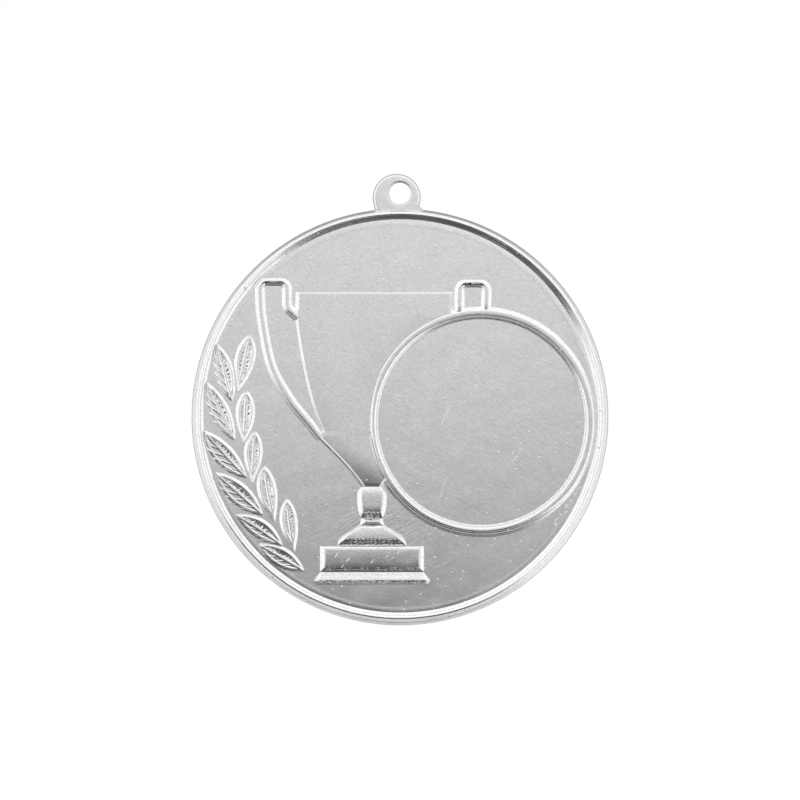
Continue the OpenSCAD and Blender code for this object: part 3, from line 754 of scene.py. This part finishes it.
# Each piece of the stand: its right side upwards, as shares of its half width and of its height; its height
# over the field from its bottom upwards, as shares of its length and of its height; up to which share of
# its length its lower face is rough; and how far its top and its bottom sag in the middle
STAND_PIECES = {
    "cup_knop": {
        "side": smooth_curve([[0.74, 0], [0.92, 0.25], [1, 0.6], [0.96, 0.85], [0.74, 1]], 12),
        "rise": [[0, 0], [0.03, 0.08], [0.16, 0.8], [0.22, 0.92], [0.34, 0.985], [0.45, 1], [0.62, 0.985],
                 [0.78, 0.95], [0.88, 0.86], [1, 0.45]],
        "rough": 0.22,
        "sag": (0, 0.16),
    },
    "cup_collar": {
        "side": smooth_curve([[1, 0], [0.914, 0.45], [0.862, 1]], 12),
        "rise": [[0, 0], [0.06, 0.25], [0.28, 0.76], [0.42, 0.84], [0.75, 0.8], [0.9, 0.6], [1, 0.3]],
        "rough": 0,
        "sag": (0.16, 0.12),
    },
    "cup_foot": {
        "side": smooth_curve([[1, 0], [0.985, 0.2], [0.9, 0.43], [0.76, 0.6], [0.56, 0.8], [0.37, 1]], 12),
        "rise": [[0, 0], [0.02, 0.04], [0.28, 0.92], [0.33, 0.985], [0.4, 1], [0.6, 0.965], [0.84, 0.88],
                 [0.93, 0.76], [1, 0.5]],
        "rough": 0.34,
        "sag": (0.12, 0),
    },
    "plinth": {
        "side": np.array([[1, 0], [1, 1]]),
        "rise": [[0, 0], [0.01, 0.03], [0.14, 0.8], [0.19, 0.89], [0.32, 0.955], [0.5, 0.99], [0.66, 1],
                 [0.82, 0.985], [0.9, 0.94], [0.96, 0.72], [1, 0.35]],
        "rough": 0.2,
        "sag": (0, 0),
    },
    "plinth_step": {
        "side": np.array([[0.943, 0], [1, 0.32], [0.887, 1]]),
        "rise": [[0, 0], [0.05, 0.1], [0.25, 0.75], [0.34, 0.86], [0.46, 0.8], [0.7, 0.45], [0.95, 0.1],
                 [1, 0.05]],
        "rough": 0.4,
        "sag": (0, 0),
    },
}


def stand_form(node):
    """A piece of the stand in rows from its bottom to its top, between its sides. Its height is the lower
    of its rise at that row and of a rounded flank's at that distance from the nearest side, so the corners
    are mitred. The lower face is rough, and where two pieces of the stem meet their joint sags in the
    middle."""
    slope_w = values("medal_cup_sizes").stand_slope_w
    box, piece = size.stand[node], STAND_PIECES[node]
    side, rough, (sag_top, sag_bottom) = piece["side"], piece["rough"], piece["sag"]
    rise = eased(evenly(smooth_curve(piece["rise"], 8), 0.012), 3)

    spans = [np.linspace(0, 0.3, 40), np.linspace(0.3, 0.8, 24)[1:], np.linspace(0.8, 1, 16)[1:]]
    share = np.concatenate([[-0.03]] + spans)
    y = box.low + (box.high - box.low) * share
    half = (np.interp(share, side[:, 1], side[:, 0]) * box.width / 2)[:, None]
    steps = np.array([-0.1] + SLOPE_POINTS)
    flat = np.linspace(-1, 1, 102)[None, 1:-1] * (half - slope_w)
    x = np.concatenate([-half + slope_w * steps, flat, half - slope_w * steps[::-1]], 1)
    sag = sag_top * ramp(0.5, 1, share) + sag_bottom * ramp(0.25, 0, share)
    yy = y[:, None] - sag[:, None] * (1 - (x / half) ** 2)

    from_side = (half - np.abs(x)) / slope_w
    over = np.interp(share, rise[:, 0], rise[:, 1])[:, None]
    h = soft_lower(flank(from_side, 0.12, 0.6) * max(1, rise[:, 1].max()), over, STAND_CORNER)
    h = size.stand_h * np.maximum(h, 0) + STAND_WAVE_H * waves(x, yy, span=2.0, seed=41) * ramp(0.3, 0.8, h)
    if rough:
        lower = ramp(rough * 1.15, rough * 0.6, share) * ramp(0, 0.03, share)
        lumps = waves(x, yy, span=0.34, seed=43) + 0.5 * waves(x, yy, span=0.2, seed=44)
        h += STAND_LUMP_H * lower[:, None] * ramp(0.5, 1, from_side) * lumps
    h = np.where((from_side < 0) | (share[:, None] < 0), -SINK, h)
    return field_solid(np.stack([size.stem_x + x, yy, h], -1))


# ---- Laurel ----

# Each leaf: its place along the spray in degrees, its shift towards the rim, its length, its lean from the
# spray's line and its half widths on the rim's side and on the cup's side
LEAVES = {
    "outer": [
        (174.5, 0.25, 7.0, 20, 1.15, 1.2),
        (188.0, 0.0, 7.7, 18, 1.25, 1.15),
        (201.6, -0.25, 7.6, 21, 1.38, 1.17),
        (215.5, 0.2, 7.6, 13, 1.3, 1.3),
        (227.6, 0.9, 6.7, 9, 1.0, 1.3),
        (238.0, 1.75, 6.3, 2, 1.15, 1.25),
    ],
    "inner": [
        (171.0, -0.35, 6.9, -3, 1.25, 1.25),
        (189.4, -1.05, 6.2, -12, 1.2, 1.2),
        (203.9, -0.65, 6.1, -27, 1.2, 1.1),
        (220.0, -0.4, 6.8, -29, 1.3, 1.1),
        (232.0, 0.55, 6.4, -44, 1.2, 1.0),
    ],
}
# A leaf's sloping edges: their width on the cup's side and on the rim's side
LEAF_EDGES = {"outer": (0.42, 0.36), "inner": (0.46, 0.46)}
# How high the bead along them is, as a share of the body's height, and how softly the edge turns into the
# body
BEAD_H = 0.98
LEAF_CORNER = 0.04
# How far the veins scallop the edge, as a share of the half width, and how far a leaf bends towards its wider
# side, as a share of the difference between its half widths
SCALLOP = 0.06
LEAF_SWING = 0.35


def leaf_fullness(kind, t):
    """The share of its full width that a leaf has at the share t of its length: a lens, and a blunter one
    for the inner leaves, whose widest place lies further up."""
    u = t if kind == "outer" else t**1.32
    return 0.09 + 0.91 * (4 * u * (1 - u)) ** (0.95 if kind == "outer" else 0.8)


def midrib(t, from_mid):
    """The midrib's height over the leaf's body, by the distance from the leaf's middle line."""
    return np.interp(from_mid, [0, 0.05, 0.2, 0.26], [1, 0.92, 0.06, 0]) * ramp(0, 0.06, t)


def outer_leaf_body(t, a, from_mid, rough):
    """The height of an outer leaf between its edges, without its veins: a raised midrib and, on the cup's
    side of it, a deep rough hollow."""
    rib = midrib(t, from_mid)
    hollow = ramp(0.2, 0.45, t) * ramp(0.97, 0.84, t) * (a < 0)
    pit = np.interp(from_mid, [0.1, 0.24, 0.34, 0.55, 0.7], [0, 1, 1, 0.2, 0]) * hollow
    return 0.62 + 0.46 * rib - 0.27 * pit + 0.17 * rough * pit


def inner_leaf_body(t, a, from_mid, rough):
    """The height of an inner leaf between its edges: a raised midrib between two troughs, of which the one
    on the cup's side is deeper and rougher."""
    rib = midrib(t, from_mid)
    trough = ramp(0.05, 0.25, t) * ramp(0.97, 0.8, t)
    pit = np.interp(from_mid, [0.1, 0.26, 0.36, 0.6], [0, 1, 1, 0]) * trough
    depth, roughness = np.where(a < 0, 0.26, 0.12), np.where(a < 0, 0.14, 0.04)
    return 0.7 + 0.42 * rib - depth * pit + roughness * rough * pit


def leaf_form(kind, number):
    """A leaf over the share t of its length and the share a of its half width, from the cup's side to the
    rim's: its body inside a narrow bead along its sloping edges. On an outer leaf's rim side narrow veins
    run from the midrib towards the tip and scallop the edge."""
    s = values("medal_laurel_sizes")
    place, shift, long, lean, rim_side, cup_side = LEAVES[kind][number - 1]
    outer = kind == "outer"
    t = np.linspace(0, 1, 200)[:, None]
    a = np.concatenate([[-1.04], np.linspace(-1, 1, 121), [1.04]])[None]
    far = np.abs(a)
    half = np.where(a > 0, rim_side, cup_side) * leaf_fullness(kind, t)
    from_mid, from_edge = far * half, np.maximum(1 - far, 0) * half
    side = half * a + LEAF_SWING * np.sin(np.pi * t) * (rim_side - cup_side)
    along = np.broadcast_to(long * t, side.shape)

    rough = waves(along, side, span=0.55, seed=50 + number)
    rough = rough + 0.6 * waves(along, side, span=0.3, seed=80 + number)
    wander = 0.06 * waves(along, side, span=1.6, seed=20 + number)
    phase = s.veins * (s.vein_slope * far - t) + 0.4 + 0.17 * number + wander
    turn = phase - np.floor(phase)
    vein = np.interp(turn, [0, 0.04, 0.16, 0.22, 0.26, 0.38, 0.42, 1], [0, 0.1, 0.9, 1, 0.9, 0.1, 0, 0])
    veined = ramp(0.02, 0.12, t) * ramp(0.98, 0.86, t) * ((a > 0) & outer)
    cup_edge_w, rim_edge_w = LEAF_EDGES[kind]
    edge_w = np.where(a > 0, rim_edge_w, cup_edge_w)
    if outer:
        body = outer_leaf_body(t, a, from_mid, rough)
        body = body + s.vein_h / s.body_h * vein * veined * ramp(0.1, 0.24, from_mid) * ramp(0.96, 0.7, far)
    else:
        body = inner_leaf_body(t, a, from_mid, rough)
    bead = ramp(0.18, 0.0, from_edge - edge_w) * ramp(0.05, 0.2, t) * s.bead
    body = np.maximum(body, body + (BEAD_H - body) * bead)
    edge = flank(from_edge / edge_w)
    h = s.body_h * np.maximum(soft_lower(edge, body, LEAF_CORNER**2) + LEAF_CORNER * (1 - edge) / 2, 0)
    h = np.where(far > 1, -SINK, np.where(far == 1, 0, h))

    side = side + SCALLOP * vein * ramp(0.6, 1, far) * veined * half
    radius = size.medal_r - s.rim_w - s.spray_inset + shift
    at, turned = math.radians(place), math.radians(place - 90 + lean)
    x = radius * math.cos(at) + along * math.cos(turned) - side * math.sin(turned)
    y = radius * math.sin(at) + along * math.sin(turned) + side * math.cos(turned)
    return field_solid(np.stack([x, y, h], -1))


# ---- Finish ----

# Marks from handling: place from the plate's middle, turn in degrees, length, width and depth
SCRATCH_MARKS = [
    ((5.6, 0.4), 62, 3.6, 0.06, 0.012), ((6.3, -0.7), 28, 2.4, 0.05, 0.01),
    ((5.2, -8.4), 74, 3.2, 0.06, 0.008), ((11.8, 4.6), -38, 2.8, 0.05, 0.01),
    ((14.2, -4.4), 58, 2.2, 0.05, 0.01), ((3.0, 2.2), -52, 1.8, 0.06, 0.01),
    ((9.0, 7.9), 20, 2.0, 0.05, 0.01), ((-14.5, 9.5), 48, 2.6, 0.05, 0.01),
    ((5.2, -17.6), 24, 3.0, 0.05, 0.01),
]
# Dots on the seat's floor
DOT_MARKS = [
    ((15.3, -0.6), 40, 0.3, 0.22, 0.03), ((15.5, -1.6), 60, 0.3, 0.2, 0.03),
    ((16.7, -4.7), 20, 0.32, 0.22, 0.03), ((11.8, -4.1), 50, 0.4, 0.16, 0.02),
    ((10.6, -4.8), 30, 0.3, 0.2, 0.025), ((13.6, -4.2), 60, 0.5, 0.14, 0.02),
]
# Short oblique nicks on the plinth's face
PLINTH_MARKS = [
    ((-7.6, -16.5), 62, 0.8, 0.12, 0.03), ((-6.2, -17.1), 52, 0.7, 0.12, 0.03),
    ((-3.3, -17.3), 55, 0.6, 0.1, 0.025), ((-6.9, -17.9), 48, 0.5, 0.1, 0.025),
    ((-0.2, -16.2), 70, 0.6, 0.1, 0.025), ((-0.9, -16.9), 40, 0.4, 0.1, 0.02),
]
# A row of small dents beside the rim at the lower right: each one's distance from the plate's middle and
# direction
RIM_DENTS = [(23.1, -21.5), (22.9, -23.5), (22.8, -25.8), (22.6, -27.9), (22.9, -29.5), (22.5, -31.2),
             (22.4, -33.0), (22.6, -34.4)]
# Sizes of the finish's lumps along the face, into it and up it, and the grain's turn, in degrees
SLOW_SPAN = (3.2, 3.2, 3.2)
GRAIN_SPAN = (0.7, 0.3, 0.13)
PITS_SPAN = (0.22, 0.22, 0.22)
GRAIN_TURN = -28
# Depths of the grain, the pits, the nicks and the long scratches, in millimetres
GRAIN_D = 0.0045
PITS_D = 0.006
NICK_D = 0.032
LONG_SCRATCH_D = 0.016


def dent_marks():
    """The dents beside the rim as marks of alternating slant and size."""
    marks = []
    for k, (far, turn) in enumerate(RIM_DENTS):
        place = (far * math.cos(math.radians(turn)), far * math.sin(math.radians(turn)))
        marks.append((place, 40 + 30 * (k % 2), 0.6 - 0.1 * (k % 3), 0.24, 0.06))
    return marks


class Shade:
    """A material or world in the making: adds nodes to its tree and joins them."""

    def __init__(self, owner):
        owner.use_nodes = True
        self.owner = owner
        self.tree = owner.node_tree
        self.tree.nodes.clear()

    def add(self, kind, inputs=None, output=0, **settings):
        """Adds a node with these settings. An input is a value or another node's output."""
        node = self.tree.nodes.new("ShaderNode" + kind)
        for key, value in settings.items():
            setattr(node, key, value)
        for key, value in (inputs or {}).items():
            if isinstance(value, bpy.types.NodeSocket):
                self.tree.links.new(value, node.inputs[key])
            else:
                node.inputs[key].default_value = value
        return node.outputs[output] if node.outputs else None

    def maths(self, operation, a, b=0.0):
        """The result of a sum on one or two values."""
        return self.add("Math", {0: a, 1: b}, operation=operation)

    def product(self, first, *others):
        """The product of two or more values."""
        for other in others:
            first = self.maths("MULTIPLY", first, other)
        return first

    def between(self, value, low, high, to_low=0.0, to_high=1.0):
        """Goes smoothly from to_low to to_high while value goes from low to high."""
        inputs = {"Value": value, "From Min": low, "From Max": high, "To Min": to_low, "To Max": to_high}
        return self.add("MapRange", inputs, interpolation_type="SMOOTHSTEP")

    def placed(self, place, turn=0.0, scale=(1, 1, 1)):
        """Frame coordinates in millimetres about a place on the face, turned about the Y axis and divided
        by the scale."""
        x, z = place
        metres = self.add("TexCoord", output="Object")
        at = self.add("VectorMath", {0: metres, "Scale": 1 / MM}, operation="SCALE")
        rotation = (0, -math.radians(turn), 0)
        inputs = {"Vector": at, "Location": (x, 0, z), "Rotation": rotation, "Scale": scale}
        return self.add("Mapping", inputs, vector_type="TEXTURE")

    def noise(self, at, detail):
        """Noise whose largest lumps measure about 1 in the given coordinates."""
        return self.add("TexNoise", {"Vector": at, "Scale": 1.0, "Detail": detail})

    def parts(self, at):
        """The X, Y and Z outputs of a vector."""
        return self.add("SeparateXYZ", {"Vector": at}).node.outputs

    def on_face(self, y):
        """1 on the front half of the medal and 0 on the back."""
        return self.maths("LESS_THAN", y, 0.0)


def nicks(shade, spots):
    """How deep the nicks are, from 0 to 1: round spots in a share of the cells of a cell pattern."""
    at = shade.parts(shade.placed((0, 0), turn=50, scale=(0.9, 1, 0.7)))
    flat = shade.add("CombineXYZ", {"X": at["X"], "Y": at["Z"]})
    cells = shade.add("TexVoronoi", {"Vector": flat, "Scale": 1.0}, voronoi_dimensions="2D").node.outputs
    picked = shade.maths("GREATER_THAN", shade.add("SeparateColor", {"Color": cells["Color"]}), 1 - spots)
    return shade.product(picked, shade.on_face(at["Y"]), shade.between(cells["Distance"], 0.16, 0.02))


def long_scratches(shade):
    """The height of long scratches that slant over the field round the stand, from about -0.5 to 0.5."""
    streaks = shade.noise(shade.placed((1, 2), turn=31, scale=(2.2, 1, 0.15)), detail=2.0)
    from_stand = shade.placed((size.stem_x, size.middle_z - 15), scale=(9, 60, 5.5))
    far = shade.add("VectorMath", {0: from_stand}, "Value", operation="LENGTH")
    return shade.product(shade.maths("SUBTRACT", streaks, 0.5), shade.between(far, 1.0, 0.45))


def struck_mark(shade, place, turn, long, wide):
    """How deep one mark on the face is, from 0 to 1: whole along its middle and fading to its sides and
    ends."""
    x, z = place
    at = shade.parts(shade.placed((x + size.middle_x, z + size.middle_z), turn, (long, 1, wide)))
    along = shade.between(shade.maths("ABSOLUTE", at["X"]), 0.5, 0.35)
    aside = shade.between(shade.maths("ABSOLUTE", at["Z"]), 0.5, 0.1)
    return shade.product(along, aside, shade.on_face(at["Y"]))


def silver_finish(name, rough=1.0, mottle=0.0, spots=0.07, marks=(), scratched=False):
    """Silver plate over struck metal: a fine grain along one diagonal, a slow change of roughness, a
    mottled skin where it has been handled, nicks, and the marks in the list. The grain also shades the
    plate a little."""
    f = values("medal_finish")
    shade = Shade(bpy.data.materials.new(name))
    slow = shade.noise(shade.placed((0, 0), 0, SLOW_SPAN), detail=3.0)
    fine = shade.noise(shade.placed((0, 0), GRAIN_TURN, GRAIN_SPAN), detail=3.0)
    pits = shade.noise(shade.placed((3, 5), 0, PITS_SPAN), detail=2.0)
    height = shade.product(fine, GRAIN_D * f.grain)
    height = shade.maths("ADD", height, shade.product(pits, PITS_D * f.grain * (1 + 2 * mottle)))
    tone = shade.maths("ADD", shade.product(fine, 0.6), shade.product(pits, 0.4))
    if f.nicks:
        height = shade.maths("SUBTRACT", height, shade.product(nicks(shade, spots), NICK_D))
    if scratched:
        scratches = long_scratches(shade)
        height = shade.maths("ADD", height, shade.product(scratches, LONG_SCRATCH_D))
        tone = shade.maths("ADD", tone, shade.product(scratches, 0.4))
    for place, turn, long, wide, deep in marks:
        mark = struck_mark(shade, place, turn, long, wide)
        height = shade.maths("SUBTRACT", height, shade.product(mark, deep))
    bump = shade.add("Bump", {"Height": height, "Strength": 1.0, "Distance": MM})
    roughness = shade.between(slow, 0.3, 0.7, f.roughness * rough * 0.88, f.roughness * rough * 1.12)
    shading = {"Value": tone, "From Min": 0.32, "From Max": 0.68, "To Min": 0.86, "To Max": 1.09}
    shade_of_grain = shade.add("MapRange", shading)
    colour = shade.add("VectorMath", {0: tuple(f.silver), "Scale": shade_of_grain}, operation="SCALE")
    inputs = {"Base Color": colour, "Metallic": 1.0, "Roughness": roughness, "Normal": bump}
    shade.add("OutputMaterial", {"Surface": shade.add("BsdfPrincipled", inputs)})
    return shade.owner


# ---- Studio ----

def direction(polar, azimuth):
    """Unit vectors by their angle from the view's axis and their angle round it, from the right upwards."""
    p, a = np.radians(polar), np.radians(azimuth)
    return np.stack([np.sin(p) * np.cos(a), -np.cos(p), np.sin(p) * np.sin(a)], -1)


def card_cover(polar, azimuth, polars, azimuths, soft):
    """How much a card covers: whole inside and fading out over its borders, which are as soft all round."""
    cover = ramp(polars[1], polars[1] - soft, polar)
    if polars[0] > 0:
        cover = cover * ramp(polars[0], polars[0] + soft, polar)
    if azimuths[1] - azimuths[0] < 360:
        aside = soft / np.maximum(np.sin(np.radians(polar)), 0.2)
        cover = cover * ramp(0, 1, (azimuth - azimuths[0]) / aside)
        cover = cover * ramp(0, 1, (azimuths[1] - azimuth) / aside)
    return cover


def card_glow(name):
    """A card's material: it glows by the attribute tone, and is clear where the attribute cover is 0."""
    shade = Shade(bpy.data.materials.new(name))
    tone = shade.add("Attribute", output="Fac", attribute_name="tone")
    cover = shade.add("Attribute", output="Fac", attribute_name="cover")
    glow = shade.add("Emission", {"Strength": tone})
    surface = shade.add("MixShader", {0: cover, 1: shade.add("BsdfTransparent"), 2: glow})
    shade.add("OutputMaterial", {"Surface": surface})
    return shade.owner


def build_card(name, far, polars, azimuths, soft, tone):
    """A glowing card, bent round the medal at a distance far: a patch of a sphere between two angles from
    the view's axis and two angles round it. Its tone is a number or a formula of those angles."""
    polar, azimuth = np.meshgrid(np.linspace(*polars, 40), np.linspace(*azimuths, 73), indexing="ij")
    points = direction(polar, azimuth) * far + np.array([size.middle_x, 0, size.middle_z]) * MM
    mesh = bpy.data.meshes.new(name)
    mesh.from_pydata(points.reshape(-1, 3).tolist(), [], grid_faces(*polar.shape))
    tones = tone(polar, azimuth) if callable(tone) else np.full(polar.shape, tone)
    for key, data in (("tone", tones), ("cover", card_cover(polar, azimuth, polars, azimuths, soft))):
        mesh.attributes.new(key, "FLOAT", "POINT").data.foreach_set("value", data.ravel().astype(np.float32))
    mesh.materials.append(card_glow(name))
    piece = bpy.data.objects.new(name, mesh)
    bpy.context.scene.collection.objects.link(piece)
    piece.visible_camera = False
    piece.visible_shadow = False


def build_surroundings():
    """White surroundings, and cards round the medal: a grey one before it that is lighter towards the upper
    right, a dark one and a small grey one below that, soft bright panels at the left, above and at the
    right, a grey card between those at the right and the front, and a grey ring behind."""
    s = values("medal_studio")
    world = bpy.data.worlds.new("medal_studio")
    bpy.context.scene.world = world
    shade = Shade(world)
    shade.add("OutputWorld", {"Surface": shade.add("Background", {"Color": (1, 1, 1, 1), "Strength": 1.0})})

    def front_tone(polar, azimuth):
        """Grows from the lower left to the upper right, as the hyperbolic tangent of the angle that way."""
        along = polar * np.cos(np.radians(azimuth - 52))
        return s.front_tone * (1.13 + 0.22 * np.tanh(along / 8))

    # name, distance, angles from the view's axis, angles round it, width of the soft borders, tone
    cards = [
        ("front_card", 0.8, (0, 35), (0, 360), 15, front_tone),
        ("low_card", 0.24, (3.9, 78), (208, 304), 3.5, s.low_tone),
        ("corner_card", 0.3, (3, 20), (268, 375), 4, s.corner_tone),
        ("left_panel", 0.38, (40, 88), (38, 206), 6, s.side_light),
        ("right_card", 0.38, (26, 60), (-56, 50), 6, s.right_tone),
        ("right_panel", 0.36, (58, 90), (-56, 56), 4, s.side_light),
        ("back_ring", 0.4, (108, 150), (0, 360), 8, s.back_tone),
    ]
    for settings in cards:
        build_card(*settings)


def build_floor():
    """A pale round floor, 1 m in radius, 0.45 m below the loop."""
    t = np.linspace(0, 2 * np.pi, 96, endpoint=False)
    border = np.stack([np.cos(t), np.sin(t), np.full(t.shape, -0.45)], -1)
    mesh = bpy.data.meshes.new("floor")
    mesh.from_pydata(border.tolist(), [], [list(range(len(t)))])
    floor = bpy.data.objects.new("floor", mesh)
    bpy.context.scene.collection.objects.link(floor)
    shade = Shade(bpy.data.materials.new("pale_floor"))
    paint = shade.add("BsdfPrincipled", {"Base Color": (0.94, 0.94, 0.94, 1), "Roughness": 0.9})
    shade.add("OutputMaterial", {"Surface": paint})
    mesh.materials.append(shade.owner)


def build_camera():
    """A long lens square before the face, so far away that the view at the medal is as wide as it should
    be."""
    s = values("medal_studio")
    scene = bpy.context.scene
    camera = bpy.data.cameras.new("camera")
    camera.lens = s.lens
    camera.sensor_width = 36
    distance = s.view_w * s.lens / camera.sensor_width
    stand = bpy.data.objects.new("camera", camera)
    stand.location = (size.middle_x * MM, (size.field_y - distance) * MM, (size.middle_z + s.view_rise) * MM)
    stand.rotation_euler = (math.pi / 2, 0, 0)
    scene.collection.objects.link(stand)
    scene.camera = stand
    scene.view_settings.view_transform = "Standard"


# ---- Operators ----

class MEDAL_OT_plate(Operator):
    """Build the round plate with the insert's seat, the field and the dished back"""

    bl_idname = "medal.plate"
    bl_label = "Plate"

    def execute(self, context):
        marks = SCRATCH_MARKS + DOT_MARKS + dent_marks()
        finish = silver_finish("silver_field", spots=0.09, marks=marks, scratched=True)
        make_piece("plate_face", plate_form(), "medal_plate", finish)
        return {"FINISHED"}


class MEDAL_OT_rim(Operator):
    """Build the rounded rim round the plate"""

    bl_idname = "medal.rim"
    bl_label = "Rim"

    def execute(self, context):
        make_piece("rim_ring", rim_form(), "rim", silver_finish("silver_rim", rough=0.9, mottle=0.5))
        return {"FINISHED"}


class MEDAL_OT_loop(Operator):
    """Build the hanging loop with its bored hole"""

    bl_idname = "medal.loop"
    bl_label = "Loop"

    def execute(self, context):
        make_piece("loop_eye", loop_form(), "hanging_loop", silver_finish("silver_loop"))
        return {"FINISHED"}


class MEDAL_OT_bezel(Operator):
    """Build the bezel round the insert's seat, with the ledge at its lower left"""

    bl_idname = "medal.bezel"
    bl_label = "Bezel"

    def execute(self, context):
        make_piece("bezel_ring", bezel_form(), "insert_bezel", silver_finish("silver_bezel", mottle=0.7))
        return {"FINISHED"}


class MEDAL_OT_cup(Operator):
    """Build the cup: its bowl, its two handles and the pieces of its stand"""

    bl_idname = "medal.cup"
    bl_label = "Cup"

    def execute(self, context):
        finish = silver_finish("silver_cup", spots=0.06)
        make_piece("bowl_face", bowl_form(), "cup_bowl", finish)
        make_piece("handle_left_ridge", handle_form(mirrored=False), "cup_handle_left", finish)
        make_piece("handle_right_ridge", handle_form(mirrored=True), "cup_handle_right", finish)
        finish = silver_finish("silver_stand", rough=0.9, mottle=0.5, spots=0.04, marks=PLINTH_MARKS)
        for node in size.stand:
            make_piece(node + "_form", stand_form(node), node, finish)
        return {"FINISHED"}


class MEDAL_OT_laurel(Operator):
    """Build the laurel spray: the leaves on the rim's side and those on the cup's side"""

    bl_idname = "medal.laurel"
    bl_label = "Laurel"

    def execute(self, context):
        finish = silver_finish("silver_leaves", rough=0.95, spots=0.03)
        for kind, leaves in LEAVES.items():
            for number in range(1, len(leaves) + 1):
                node = f"laurel_leaf_{kind}_{number}"
                make_piece(f"leaf_{kind}_{number}", leaf_form(kind, number), node, finish)
        return {"FINISHED"}


class MEDAL_OT_studio(Operator):
    """Build the surroundings, the cards, the floor and the camera"""

    bl_idname = "medal.studio"
    bl_label = "Studio"

    def execute(self, context):
        build_surroundings()
        build_floor()
        build_camera()
        return {"FINISHED"}


OPERATORS = (MEDAL_OT_plate, MEDAL_OT_rim, MEDAL_OT_loop, MEDAL_OT_bezel, MEDAL_OT_cup, MEDAL_OT_laurel,
             MEDAL_OT_studio)


class MEDAL_PT_panel(Panel):
    """Lists the medal's steps and their settings"""

    bl_label = "Struck prize medal"
    bl_idname = "MEDAL_PT_panel"
    bl_space_type = "VIEW_3D"
    bl_region_type = "UI"
    bl_category = "Medal"

    def draw(self, context):
        for step in OPERATORS:
            self.layout.operator(step.bl_idname)
        for name, group in GROUPS.items():
            box = self.layout.box()
            box.label(text=name.replace("_", " ").capitalize())
            for key in group.__annotations__:
                box.prop(getattr(context.scene, name), key)


CLASSES = tuple(GROUPS.values()) + OPERATORS + (MEDAL_PT_panel,)


def register():
    for cls in CLASSES:
        bpy.utils.register_class(cls)
    for name, group in GROUPS.items():
        setattr(bpy.types.Scene, name, PointerProperty(type=group))


def unregister():
    for name in GROUPS:
        delattr(bpy.types.Scene, name)
    for cls in reversed(CLASSES):
        bpy.utils.unregister_class(cls)


def main():
    register()
    for step in OPERATORS:
        family, name = step.bl_idname.split(".")
        if getattr(getattr(bpy.ops, family), name)() != {"FINISHED"}:
            raise RuntimeError(f"{step.bl_label} didn't finish")
    bpy.context.view_layer.update()


if __name__ == "__main__":
    main()
